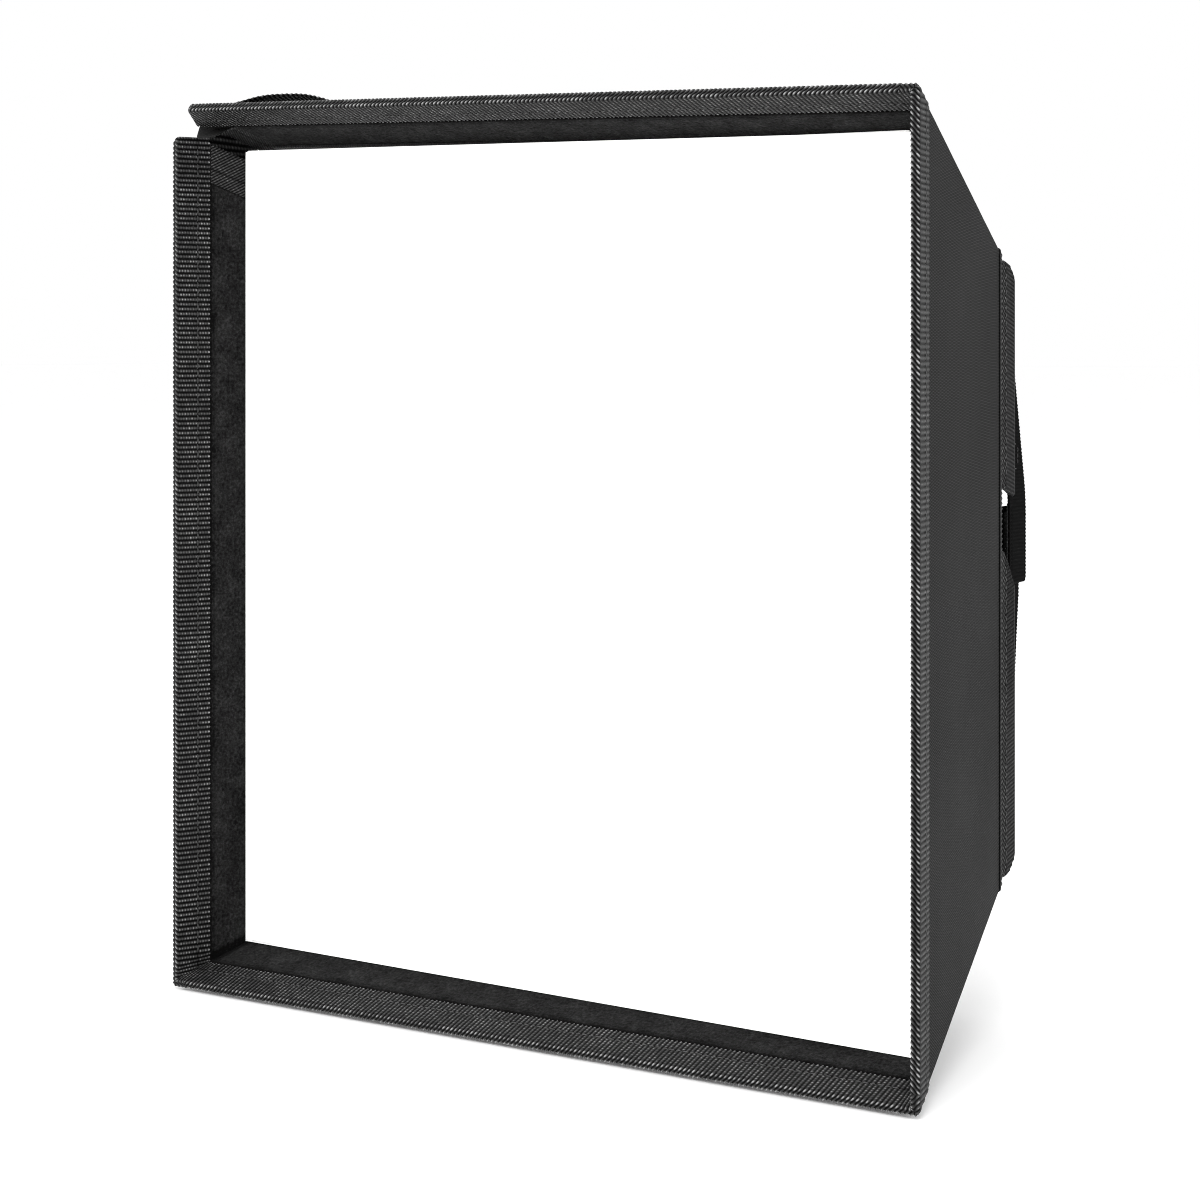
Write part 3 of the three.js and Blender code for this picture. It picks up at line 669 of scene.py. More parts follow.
def u_leaf(name, leaf, path, at, mat, step, k, seed, stitch=None, scallop=1.0, thick=0.45, soft=2.5, end=end_x):
    """The binding of one leaf between its two corners. at(y) gives the slope
    distance for a distance y from the folded edge."""
    kx, ku = k
    lo_open, hi_open = [e != "fold" for e in ENDS[leaf.name]]
    Y = at(path.y)
    # rounded free corner of the tape
    e = np.clip(path.y, 0, soft)
    back = soft * (1 - np.sqrt(np.clip(1 - (1 - e / soft) ** 2, 0, 1)))
    xlo = end(leaf, -1, Y) + (back if lo_open else 0)
    xhi = end(leaf, 1, Y) - (back if hi_open else 0)
    length = float(np.mean(xhi - xlo))
    n = odd(length, step, kx)
    t = np.linspace(0, 1, n)
    # more columns in the last 1.75 mm of a free end
    rad = 1.7
    def squeeze(t):
        d = np.minimum(t if lo_open else np.full_like(t, 9.0), (1 - t) if hi_open else np.full_like(t, 9.0)) * length
        return d
    if lo_open or hi_open:
        m = 12
        s = np.linspace(0, 1, n)
        zone = 4.0 / length
        # map the first part so that columns gather at the end
        a = 24 * (1.0 / (n - 1))
        g = np.where(s < a, zone * (s / a) ** 1.8, zone + (s - a) / (1 - a) * (1 - zone))
        t = g if lo_open else 1 - g[::-1]
    X = xlo[None, :] + (xhi - xlo)[None, :] * t[:, None]
    h, rib, out = u_height(path, X, seed, stitch, scallop)
    d = squeeze(t)
    f = np.sqrt(np.clip(1 - (1 - np.clip(d, 0.02, rad) / rad) ** 2, 0, 1))[:, None]
    amp = np.clip(f, 0, 1)
    yy = path.y[None, :] + path.ny[None, :] * h * amp + out * amp
    zz = path.z[None, :] + path.nz[None, :] * h * amp
    zz = path.mid + (zz - path.mid) * f
    topP = leaf.P(X, at(yy), zz)
    Xb = X[::kx, ::ku]
    fb = f[::kx]
    yb = (path.y - path.ny * thick)[None, ::ku] + 0 * Xb - 0.0
    yb = np.minimum(yb, path.y[None, ::ku] + thick)
    zb = path.mid + ((path.z - path.nz * thick)[None, ::ku] - path.mid) * fb * 0.97
    botP = leaf.P(Xb, at(yb), zb)
    uv = np.stack([X, path.u[None, :] + 0 * X], -1)
    return slab(name, topP, botP, uv, rib, mat, k)


def u_corner(name, corner, path, at, mat, step, k, seed, stitch=None, scallop=1.0, thick=0.45):
    kx, ku = k
    n = odd(2 * SPAN, step, kx)
    q = np.linspace(-SPAN, SPAN, n)[:, None]
    Y = at(path.y)[None, :]
    X = corner.X(q, Y)
    h, rib, out = u_height(path, X, seed, stitch, scallop)
    keep = 1 - 0.35 * np.exp(-((q / 0.7) ** 2))
    yy = path.y[None, :] + path.ny[None, :] * h * keep + out
    zz = path.z[None, :] + path.nz[None, :] * h * keep
    topP = corner.P(q + 0 * yy, at(yy), zz)
    qb = q[::kx]
    yb = (path.y - path.ny * thick)[None, ::ku]
    zb = (path.z - path.nz * thick)[None, ::ku]
    botP = corner.P(qb + 0 * yb, at(yb) + 0 * qb, zb + 0 * qb)
    uv = np.stack([np.where(q >= 0, X, 360 - X), path.u[None, :] + 0 * X], -1)
    return slab(name, topP, botP, uv, rib, mat, k)


def corner_blend(corner, key):
    """The two leaf bodies of a corner and two points across its corner line."""
    dirn = unit(corner.pb - corner.pa)
    reach = (SPAN - 1.0) * abs(corner.pa @ dirn)
    # the two points lie mostly towards leaf b
    s, e = corner.c0 - 0.3 * reach * dirn, corner.c0 + reach * dirn
    return ("leaf_" + corner.a.name, "leaf_" + corner.b.name, s, e)


rim_at = lambda y: y
STITCH_RIM = [RIM_PATH.total - 5.5, 5.5]

for key, leaf in LEAVES.items():
    ob = u_leaf(f"binding_{key}", leaf, RIM_PATH, rim_at, BINDING, 0.36, (6, 6), 11, STITCH_RIM, soft=2.4, end=rim_end)
    done(ob, [f"rim_binding_{key}"], body=f"leaf_{key}")
    hem_at = lambda y, L=leaf.L: L + 0.45 - y
    ob = u_leaf(f"rear_hem_{key}", leaf, HEM_PATH, hem_at, FLAP, 0.5, (3, 3), 23, None, 0.0, 0.35)
    done(ob, body=f"leaf_{key}")
for key, c in CORNERS.items():
    ob = u_corner(f"binding_corner_{key}", c, RIM_PATH, rim_at, BINDING, 0.36, (6, 6), 11, STITCH_RIM)
    done(ob, blend=corner_blend(c, key))
    La, Lb = c.a.L, c.b.L

    def hem_corner_at(y, L=0.5 * (La + Lb)):
        return y
    # the rear hem's slope distance differs a little between the two leaves
    path = HEM_PATH
    n = odd(2 * SPAN, 0.5, 3)
    q = np.linspace(-SPAN, SPAN, n)[:, None]
    m = np.clip((q + 3) / 6, 0, 1)
    m = m * m * (3 - 2 * m)
    Lq = m * La + (1 - m) * Lb
    Lq = np.where(np.abs(q) > 3, np.where(q > 0, La, Lb), Lq)
    X = c.X(q, Lq + 0.45 - path.y[None, :])
    h, rib, _ = u_height(path, X, 23, None, 0.0)
    yy = path.y[None, :] + path.ny[None, :] * h
    zz = path.z[None, :] + path.nz[None, :] * h
    topP = c.P(q + 0 * yy, Lq + 0.45 - yy, zz)
    sl = slice(None, None, 3)
    yb = (path.y - path.ny * 0.35)[None, sl]
    zb = (path.z - path.nz * 0.35)[None, sl]
    botP = c.P(q[sl] + 0 * yb, Lq[sl] + 0.45 - yb, zb + 0 * q[sl])
    uv = np.stack([X, path.u[None, :] + 0 * X], -1)
    ob = slab(f"rear_hem_corner_{key}", topP, botP, uv, rib, FLAP, (3, 3))
    done(ob, blend=corner_blend(c, key))

# ------------------------------------------------------------------ cloth panels
HEM_FRONT = 0.85
BOARD_Y0, BOARD_Y1 = 1.3, 1.3


def panel(name, leaf, z_out, z_in, y0, y1, mat, step, disp, seed, inward=False, more=0.75, thick_only=None):
    """A flat cloth of one leaf, as a closed thin sheet. Its seen face is the
    outer one, or the inner one if inward."""
    ny = odd(y1 - y0, step, 1)
    nx = odd(2 * leaf.w((y0 + y1) / 2), step, 1)
    Y = np.linspace(y0, y1, ny)[None, :]
    xlo, xhi = inside(leaf, -1, Y, more), inside(leaf, 1, Y, more)
    t = np.linspace(0, 1, nx)[:, None]
    X = xlo + (xhi - xlo) * t
    Y = Y + 0 * X
    h = disp(X, Y)
    z_seen, z_back, sg = (z_in, z_out, 1) if inward else (z_out, z_in, -1)
    topP = leaf.P(X, Y, z_seen + sg * h)
    botP = leaf.P(X, Y, z_back + sg * h * 0.6)
    uv = np.stack([X, Y], -1)
    return slab(name, topP, botP, uv, 0 * X + 0.5, mat, (1, 1))


def cover_disp(leaf, seed):
    def f(X, Y):
        edge = smooth(Y, 17.0, 36.0) * (1 - smooth(Y, leaf.L - 25, leaf.L - 5)) * (1 - smooth(np.abs(X), leaf.w(Y) - 40, leaf.w(Y) - 12))
        return 0.30 * edge * (0.5 + 0.5 * fbm(X / 55.0, Y / 38.0, seed)) + 0.03 * edge * fbm(X / 9.0, Y / 7.0, seed + 9)
    return f


def lining_disp(leaf, seed):
    def f(X, Y):
        edge = smooth(Y, 48.0, 60.0) * (1 - smooth(Y, leaf.L - 10, leaf.L - 3)) * (1 - smooth(np.abs(X), leaf.w(Y) - 22, leaf.w(Y) - 11))
        a = 0.50 * fbm(X / 24.0, Y / 30.0, seed, 4)
        ridge = 0.75 * (1 - np.abs(fbm(X / 30.0 + 3 + Y / 60.0, Y / 44.0, seed + 30, 3))) ** 5
        pull = 0.35 * (1 - smooth(Y, 56.0, 78.0)) * np.cos(X / 3.1 + 2.5 * fbm(X / 21.0, Y / 15.0, seed + 60, 2)) ** 2
        return edge * (a + ridge + pull + 0.2)
    return f


for i, (key, leaf) in enumerate(LEAVES.items()):
    ob = panel(f"cover_{key}", leaf, 0.65, 1.15, HEM_FRONT, leaf.L - 0.6, OXFORD, 3.0, cover_disp(leaf, 100 + i), 0)
    done(ob, [f"outer_cover_{key}"], body=f"leaf_{key}")
    ob = panel(f"lining_{key}", leaf, 2.45, 2.85, HEM_FRONT, leaf.L - 0.6, SILVER, 2.2, lining_disp(leaf, 200 + i), 0, inward=True)
    done(ob, [f"inner_lining_{key}"], body=f"leaf_{key}")
    ob = panel(f"board_{key}", leaf, 1.3, 2.3, BOARD_Y0, leaf.L - BOARD_Y1, BOARD, 3.0, lambda X, Y: 0 * X, 0, inward=True)
    done(ob, [f"stiffener_board_{key}"], body=f"leaf_{key}")


def corner_panel(name, c, z_out, z_in, y0, rear, mat, inward=False):
    n = odd(2 * SPAN, 0.4, 1)
    ny = 61
    q = np.linspace(-SPAN, SPAN, n)[:, None]
    m = np.clip((q + 3) / 6, 0, 1)
    m = m * m * (3 - 2 * m)
    Lq = m * c.a.L + (1 - m) * c.b.L
    t = np.linspace(0, 1, ny)[None, :]
    Y = y0 + (Lq - rear - y0) * t
    z_seen, z_back = (z_in, z_out) if inward else (z_out, z_in)
    # the sewn fold stands a touch proud, with the seam pinched along its middle
    sg = 1 if inward else -1
    h = 0.06 * np.exp(-((q / 2.2) ** 2)) * (0.6 + 0.8 * lattice(Y / 7.0, q * 0 + 1.0, 5)) * (1 - smooth(0 * q + Y, 0, 9) * 0)
    topP = c.P(q + 0 * Y, Y, z_seen + sg * h)
    botP = c.P(q + 0 * Y, Y, z_back + 0 * Y)
    uv = np.stack([np.where(q >= 0, c.X(q, Y), 360 - c.X(q, Y)), Y], -1)
    return slab(name, topP, botP, uv, 0 * Y + 0.5, mat, (1, 1))


for key, c in CORNERS.items():
    ob = corner_panel(f"cover_corner_{key}", c, 0.65, 1.15, HEM_FRONT, 0.6, OXFORD)
    done(ob, [f"corner_fold_{key}"], blend=corner_blend(c, key))
    ob = corner_panel(f"lining_corner_{key}", c, 2.45, 2.85, HEM_FRONT, 0.6, SILVER, inward=True)
    done(ob, blend=corner_blend(c, key))

# ------------------------------------------------------------------ loop tape
def pile_height(X, Y, seed, amp=0.34):
    a = fbm(X / 1.15, Y / 1.15, seed, 2)
    b = fbm(X / 4.2, Y / 3.4, seed + 3, 2)
    return amp * (0.55 * a + 0.35 * b)


def loop_band(name, leaf, y0, y1, z0, z1, seed):
    ny = odd(y1 - y0, 0.5, 6)
    Yl = np.linspace(y0, y1, ny)[None, :]
    open_stop = 15.5 / leaf.cosg + 0.1
    ends = ENDS[leaf.name]
    def lim(sign, Y):
        end = ends[0 if sign < 0 else 1]
        if end == "fold":
            return end_x(leaf, sign, Y)
        return sign * (leaf.w(Y) - end - open_stop)
    xlo, xhi = lim(-1, Yl), lim(1, Yl)
    nx = odd(float(np.mean(xhi - xlo)), 0.55, 6)
    t = np.linspace(0, 1, nx)[:, None]
    X = xlo + (xhi - xlo) * t
    Y = Yl + 0 * X
    selv = smooth(Y, y0, y0 + 1.1) * (1 - smooth(Y, y1 - 1.1, y1))
    endf = 1.0
    if ends[0] != "fold":
        endf = smooth(t * (xhi - xlo), 0, 1.0)
    if ends[1] != "fold":
        endf = smooth((1 - t) * (xhi - xlo), 0, 1.0)
    h = pile_height(X, Y, seed) * selv * endf - 0.38 * (1 - selv * endf)
    # sewn down near both selvedges
    for s in (y0 + 1.5, y1 - 1.5):
        h = h - 0.16 * np.exp(-(((Y - s) / 0.5) ** 2))
    topP = leaf.P(X, Y, z1 + h)
    botP = leaf.P(X[::6, ::6], Y[::6, ::6], z0 + 0 * X[::6, ::6])
    # painted shade: the rib value follows the pile height, so low pile, sewn lines and ends are painted darker
    rib = np.clip(0.5 + h * 1.6, 0, 1)
    return slab(name, topP, botP, np.stack([X, Y], -1), rib, PILE, (6, 6))


def loop_corner(name, c, y0, y1, z0, z1, seed):
    """The loop tape carried through a sewn corner."""
    Y = np.linspace(y0, y1, odd(y1 - y0, 0.5, 6))[None, :]
    q = np.linspace(-SPAN, SPAN, odd(2 * SPAN, 0.45, 6))[:, None]
    X = np.where(q >= 0, c.sa, c.sb) * c.X(q, Y)
    Y = Y + 0 * q
    selv = smooth(Y, y0, y0 + 1.1) * (1 - smooth(Y, y1 - 1.1, y1))
    # pressed down in the corner, where the sheet's corner sits on it
    h = pile_height(X, Y, seed) * selv - 0.38 * (1 - selv) - 0.5 * (1 - smooth(np.abs(q), 3.0, 6.8))
    for s in (y0 + 1.5, y1 - 1.5):
        h = h - 0.16 * np.exp(-(((Y - s) / 0.5) ** 2))
    topP = c.P(q + 0 * Y, Y, z1 + h)
    botP = c.P((q + 0 * Y)[::6, ::6], Y[::6, ::6], z0 + 0 * Y[::6, ::6])
    # painted shade: the rib value follows the pile height, so pressed and sewn-down pile is painted darker
    return slab(name, topP, botP, np.stack([X, Y], -1), np.clip(0.5 + h * 1.6, 0, 1), PILE, (6, 6))


for key, leaf in LEAVES.items():
    ob = loop_band(f"loop_band_{key}", leaf, 15.9, 52.0, 3.02, 3.95, 300)
    done(ob, [f"loop_tape_{key}"], body=f"leaf_{key}")
for key, c in CORNERS.items():
    done(loop_corner(f"loop_corner_{key}", c, 15.9, 52.0, 3.02, 3.95, 300), blend=corner_blend(c, key))

# ------------------------------------------------------------------ open seam
EDGE = UPath(15.5, 15.5, 0.0, 3.5, 1.0, 0.4, 6)


def seam(name, leaf, sign, stop, seed, flare=0.0, sag=(0.0, 0.0), reach=8.0):
    path = EDGE
    base = np.array([sign * (leaf.w(0.0) - stop), 0.0])
    tip = np.array([sign * (leaf.w(leaf.L) - stop), leaf.L])
    length = np.linalg.norm(tip - base)
    d = (tip - base) / length
    ac = np.array([-sign, 0.0]) + sign * d[0] * d
    ac = ac / np.linalg.norm(ac)
    inner = smooth(path.u, path.web0 + 1.0, path.web1)
    start = 16.3 - ac[1] * path.y  # square across, just behind the rim webbing
    n = odd(length - 12, 0.4, 6)
    t = np.linspace(0, 1, n)[:, None]
    T = start[None, :] / d[1] + (length - 1.6 - start / d[1])[None, :] * t
    h, rib = weave(T, path.u[None, :] + 0 * T, p=1.6, bead=1.25, seed=seed, slant=0.62 * path.y[None, :] + 0 * T, low=0.2, high=0.14, stitch=[path.total - 5.5, 5.5], beads=0.05, flat=0.45)
    h = h - path.drop[None, :]
    low = 0.12 * (1 - smooth(T * d[1], 15.0, 19.0)) * inner[None, :]
    yy = path.y[None, :] + path.ny[None, :] * h
    zz = path.z[None, :] + path.nz[None, :] * h - low
    def at(T, y, z):
        X = base[0] + d[0] * T + ac[0] * y
        Y = base[1] + d[1] * T + ac[1] * y
        if flare:  # the loose front end of the tape spreads and sags
            e = 1 - smooth(Y, 16.0, 16.0 + reach)
            X = X + sign * flare * e * (1 - smooth(np.clip(y, 0, 99), 4.0, 14.0))
            z = z + (sag[0] + (sag[1] - sag[0]) * np.clip(z / 3.5, 0, 1)) * e * (1 - smooth(np.clip(y, 0, 99), 6.0, 15.0))
        return leaf.P(X, Y, z)
    topP = at(T, yy, zz)
    Tb = T[::6, ::6]
    yb = (path.y - path.ny * 0.42)[None, ::6] + 0 * Tb
    zb = (path.z - path.nz * 0.42)[None, ::6] + 0 * Tb
    botP = at(Tb, yb, zb)
    return slab(name, topP, botP, np.stack([T, path.u[None, :] + 0 * T], -1), rib, BINDING, (6, 6))


ob = seam("seam_tape_top", top, 1, OPEN_TOP, 51, flare=6.0, sag=(1.5, 5.4), reach=3.1)
done(ob, ["seam_binding_top"], body="leaf_top")
ob = seam("seam_tape_left", left, -1, OPEN_LEFT, 57)
done(ob, ["seam_binding_left"], body="leaf_left")

# ------------------------------------------------------------------ rear collar
FLAP_LEN, F_OUT, F_IN = 16.2, 0.4, 2.8
WEB, WEB_REAR = 19.0, 35.6
SIDE_ANG = math.atan2(R2 - RW, DEPTH)
TOP_ANG = math.atan2(R2 - RH, DEPTH)


class Flap:
    """X along the rear edge, Y rearward, Z inward; turned outward by ang."""

    def __init__(self, leaf, ang):
        self.leaf = leaf
        self.o = leaf.P(np.array(0.0), np.array(leaf.L), np.array(0.0))
        m = turn(leaf.x, -ang)
        self.x, self.s, self.n = leaf.x, m @ leaf.s, m @ leaf.n

    def P(self, X, Y, Z):
        X, Y, Z = np.broadcast_arrays(X, Y, Z)
        return self.o + X[..., None] * self.x + Y[..., None] * self.s + Z[..., None] * self.n


LEAN = math.radians(8)
FLAPS = {"bottom": Flap(bottom, TOP_ANG), "top": Flap(top, TOP_ANG), "right": Flap(right, SIDE_ANG - LEAN), "left": Flap(left, SIDE_ANG - LEAN)}


def flap_piece(name, fl, lo, hi, seed, sign=1, slantk=0.0):
    """A two-ply webbing flap. lo and hi are outline points (X at slope Y)."""
    ys, yl = zip(*lo)
    _, yh = zip(*hi)
    ny = odd(FLAP_LEN - 0.5, 0.36, 4)
    Y = np.linspace(0.5, FLAP_LEN, ny)[None, :]
    xlo = np.interp(Y, [p[0] for p in lo], [p[1] for p in lo])
    xhi = np.interp(Y, [p[0] for p in hi], [p[1] for p in hi])
    nx = odd(float(np.mean(xhi - xlo)), 0.36, 6)
    t = np.linspace(0, 1, nx)[:, None]
    X = xlo + (xhi - xlo) * t
    Y = Y + 0 * X
    d = np.minimum(t * (xhi - xlo), (1 - t) * (xhi - xlo))
    mid = (F_OUT + F_IN) / 2
    # column of braid next to the leaf, plain ribs behind it, then the selvedge
    braid = 1 - smooth(Y, 4.6, 5.4)
    sl = sign * (0.42 * (Y - 2.6) * braid + slantk * (Y - 5) * (1 - braid))
    h1, r1 = weave(X, Y, p=1.98, bead=1.7, slant=sl, seed=seed, beads=0.16)
    h2, r2 = weave(X, Y, p=1.58, bead=1.35, slant=sl, seed=seed + 4, beads=0.1, high=0.12)
    selv = smooth(Y, FLAP_LEN - 2.0, FLAP_LEN - 1.2)
    gap = np.exp(-(((Y - 5.0) / 0.35) ** 2))
    h = (h1 * braid + h2 * (1 - braid)) * (1 - selv) - 0.02 * selv - 0.25 * gap
    # painted shade along the groove (gap) between braid and ribs; the selvedge keeps its own plain grey
    rib = (r1 * braid + r2 * (1 - braid) * 0.8) * (1 - selv) * (1 - 0.8 * gap) + 0.42 * selv
    tip = np.sqrt(np.clip(1 - (np.clip(Y - (FLAP_LEN - 1.1), 0, 1.08) / 1.1) ** 2, 0, 1))
    side = np.sqrt(np.clip(1 - (1 - np.clip(d, 0.03, 1.1) / 1.1) ** 2, 0, 1))
    f = np.minimum(tip, side)
    half = (F_IN - F_OUT) / 2
    topP = fl.P(X, Y, mid - (half + h) * f)
    Xb, Yb, fb = X[::1, ::1], Y[::1, ::1], f
    hb, _ = weave(Xb, Yb, p=1.98, bead=1.5, seed=seed + 9, beads=0.1)
    botP = fl.P(Xb, Yb, mid + (half + hb * 0.8) * fb)
    ob = slab(name, topP, botP, np.stack([X, Y], -1), rib, FLAP, (1, 1))
    # the inner face shows the same ribs
    m, n = X.shape
    _, rb = weave(Xb, Yb, p=1.98, bead=1.5, seed=seed + 9, beads=0.1)
    allr = np.concatenate([rib.ravel(), rb.ravel() * 0.6])
    ob.data.attributes["rib"].data.foreach_set("value", allr.astype(np.float32))
    return ob


def flap_blend(fl, leaf_name, flap_body):
    o = fl.P(np.array(0.0), np.array(0.0), np.array(1.5))
    return (leaf_name, flap_body, o + fl.s * 0.6, o + fl.s * 4.0)


wide = 122.0
CH = 5.0
wlo = [(0.5, -wide), (FLAP_LEN - CH, -wide), (FLAP_LEN - 2.2, -wide + 1.2), (FLAP_LEN - 0.8, -wide + 3.2), (FLAP_LEN, -wide + CH + 0.6)]
whi = [(y, -x) for y, x in wlo]
ob = flap_piece("collar_bottom", FLAPS["bottom"], wlo, whi, 71)
done(ob, ["collar_flap_bottom"], body="leaf_bottom")
ob = flap_piece("collar_top", FLAPS["top"], wlo, whi, 73)
done(ob, ["collar_flap_top"], blend=flap_blend(FLAPS["top"], "leaf_top", "flap_top"))

END = RH - 4
far = [(0.5, END), (FLAP_LEN - 11, END), (FLAP_LEN - 6, END - 1.4), (FLAP_LEN - 2, END - 4.8), (FLAP_LEN - 0.6, END - 7.5), (FLAP_LEN, END - 10)]
up_low = [(0.5, 33.0), (9.0, 30.2), (FLAP_LEN - 1.5, 28.2), (FLAP_LEN, 29.5)]
low_up = [(0.5, 8.0), (4.0, 7.0), (9.0, 1.5), (FLAP_LEN - 1.5, -6.0), (FLAP_LEN, -8.0)]
for side, sg in (("right", 1), ("left", -1)):
    fl = FLAPS[side]

    def both(lo_z, hi_z):
        if sg > 0:
            return lo_z, hi_z
        return [(y, -z) for y, z in hi_z], [(y, -z) for y, z in lo_z]
    lo, hi = both(up_low, far)
    ob = flap_piece(f"collar_{side}_upper", fl, lo, hi, 81, sign=sg, slantk=0.16)
    done(ob, [f"collar_flap_{side}_upper"], blend=flap_blend(fl, f"leaf_{side}", f"flap_{side}_upper"))
    lo, hi = both([(y, -z) for y, z in far], low_up)
    ob = flap_piece(f"collar_{side}_lower", fl, lo, hi, 87, sign=sg, slantk=-0.12)
    done(ob, [f"collar_flap_{side}_lower"], blend=flap_blend(fl, f"leaf_{side}", f"flap_{side}_lower"))

# ------------------------------------------------------------------ webbing straps
def ribbon(name, place, S, half_thick, mat, uv_len, width, p=1.48, seed=5, stitch=None, boxes=(), edge=0.3, rnd_end=None, bead=1.25, high=0.13, low=0.16):
    """A strap: place(s, v, n) gives a point at length s, v in -0.5..0.5 across
    and n out of its middle plane. S are the lengths sampled."""
    nv = odd(width, 0.4, 6)
    v = np.linspace(-0.5, 0.5, nv)[None, :]
    s = S[:, None]
    W = width * np.ones_like(s)
    if rnd_end is not None:  # rounded free corners at the far end
        d = np.clip(s.max() - s, 0, rnd_end)
        W = W - 2 * (rnd_end - np.sqrt(np.clip(rnd_end ** 2 - (rnd_end - d) ** 2, 0, None)))
    u = v * W + width / 2
    h, rib = weave(s + 0 * u, u, p=p, bead=bead, seed=seed, low=low, high=high, stitch=stitch, beads=0.1)
    for (s0, s1, u0, u1) in boxes:  # box stitching pressed into the webbing
        line = np.minimum.reduce([
            np.maximum(np.abs(s - s0) + 0 * u, np.maximum(u0 - u, u - u1)),
            np.maximum(np.abs(s - s1) + 0 * u, np.maximum(u0 - u, u - u1)),
            np.maximum(np.abs(u - u0) + 0 * s, np.maximum(s0 - s, s - s1)),
            np.maximum(np.abs(u - u1) + 0 * s, np.maximum(s0 - s, s - s1)),
        ])
        q = np.exp(-((np.clip(line, 0, None) / 0.5) ** 2))
        # painted shade along the pressed stitch lines
        h, rib = h - 0.12 * q, rib * (1 - 0.4 * q)
    e = np.minimum(u, width - u)
    e = np.minimum(v + 0.5, 0.5 - v) * W
    ed = np.sqrt(np.clip(1 - (1 - np.clip(e, 0.02, half_thick) / half_thick) ** 2, 0, 1))
    topP = place(s + 0 * u, v * W / width + 0 * u, (half_thick + h) * ed)
    botP = place(s + 0 * u, v * W / width + 0 * u, -(half_thick + h * 0.7) * ed)
    uv = np.stack([s + 0 * u, u], -1)
    ob = slab(name, topP, botP, uv, rib, mat, (1, 1))
    r = np.concatenate([rib.ravel(), rib.ravel() * 0.8])
    ob.data.attributes["rib"].data.foreach_set("value", r.astype(np.float32))
    return ob


F0, F1 = WEB_REAR - WEB, WEB_REAR


def eased(x, xs, ys, r=7.0):
    """Straight pieces with their joins rounded over."""
    return np.mean([np.interp(x + d, xs, ys) for d in np.linspace(-r, r, 11)], axis=0)


for side, sg in (("right", 1), ("left", -1)):
    fl = FLAPS[side]

    # upper webbing: sewn under the flap, leaning back to clear the yoke pivot,
    # and running on as a loose tongue with hook tape on its inner face
    def up_place(s, v, n, fl=fl, sg=sg):
        z = 103.0 - s
        y0 = eased(z, [-7.0, 27.4, 46.0, 103.0], [F0, F0, F0 - 4.6, 1.2])
        y1 = eased(z, [-7.0, 27.4, 103.0], [F1, F1, FLAP_LEN])
        return fl.P(sg * z, y0 + (y1 - y0) * (v + 0.5), 3.6 - n)
    ob = ribbon(f"retainer_{side}_upper", up_place, np.linspace(0, 110.0, odd(110.0, 0.36, 1)), 0.5, STRAP_IN_SHADE, 110, 19.0, seed=91, rnd_end=2.2,
                boxes=[(54, 64, 3, 16), (4, 20, 2.5, 13), (79, 107, 2.2, 16.8)])
    bend = lambda z: fl.P(np.array(sg * z), np.array(0.5 * (F0 + F1)), np.array(3.1))
    done(ob, [f"retaining_strap_{side}_upper", f"retaining_tongue_{side}"],
         blend=(f"flap_{side}_upper", f"tongue_{side}", bend(29.4), bend(25.0)))

    # lower webbing passes inside the tongue
    def low_place(s, v, n, fl=fl, sg=sg):
        z = -93.0 + s
        y0 = np.interp(z, [-93, -82, -12, 24], [1.2, 1.4, F0 - 0.6, F0])
        y1 = np.interp(z, [-93, -82, -12, 24], [FLAP_LEN, FLAP_LEN + 2, F1, F1])
        zz = 3.1 + 3.05 * smooth(z, -86.0, -8.0)
        lin = np.interp(z, [-93, -82, -12, 24], [3.1, 3.1, 6.15, 6.15])
        zz = 0.35 * zz + 0.65 * lin
        return fl.P(sg * z, y0 + (y1 - y0) * (v + 0.5), zz + 0.5 - n)
    ob = ribbon(f"retainer_{side}_lower", low_place, np.linspace(0, 117.0, odd(117, 0.36, 1)), 0.5, STRAP_IN_SHADE, 117, 19.0, seed=95, boxes=[(5, 19, 2.5, 13)], rnd_end=1.6)
    done(ob, [f"retaining_strap_{side}_lower"], body=f"flap_{side}_lower")


def pad(name, P, x0, x1, y0, y1, z_seen, z_back, mat, seed, amp, seen_sign):
    """A rectangular hook or loop pad with rounded corners and a sewn edge."""
    nx, ny = odd(x1 - x0, 0.45, 3), odd(y1 - y0, 0.45, 3)
    X = np.linspace(x0, x1, nx)[:, None] + np.zeros((1, ny))
    Y = np.linspace(y0, y1, ny)[None, :] + np.zeros((nx, 1))
    r = 1.8
    cx, cy = np.clip(X, x0 + r, x1 - r), np.clip(Y, y0 + r, y1 - r)
    dx, dy = X - cx, Y - cy
    k = np.maximum(np.abs(dx), np.abs(dy)) / np.maximum(np.hypot(dx, dy), 1e-6)
    k = np.where((dx != 0) & (dy != 0), k, 1)
    X, Y = cx + dx * k, cy + dy * k
    d = np.minimum.reduce([X - x0, x1 - X, Y - y0, y1 - Y])
    h = pile_height(X, Y, seed, amp) * smooth(d, 0.3, 1.2) - 0.25 * (1 - smooth(d, 0.0, 0.9)) - 0.12 * np.exp(-(((d - 1.8) / 0.4) ** 2))
    topP = P(X, Y, z_seen + seen_sign * h)
    botP = P(X[::3, ::3], Y[::3, ::3], z_back + 0 * X[::3, ::3])
    # painted shade for the loop pads: the rib value follows the height, so low edges and the sewn groove are painted
    # darker
    rib = np.clip(0.5 + h * 1.6, 0, 1)
    return slab(name, topP, botP, np.stack([X, Y], -1), rib, mat, (3, 3))


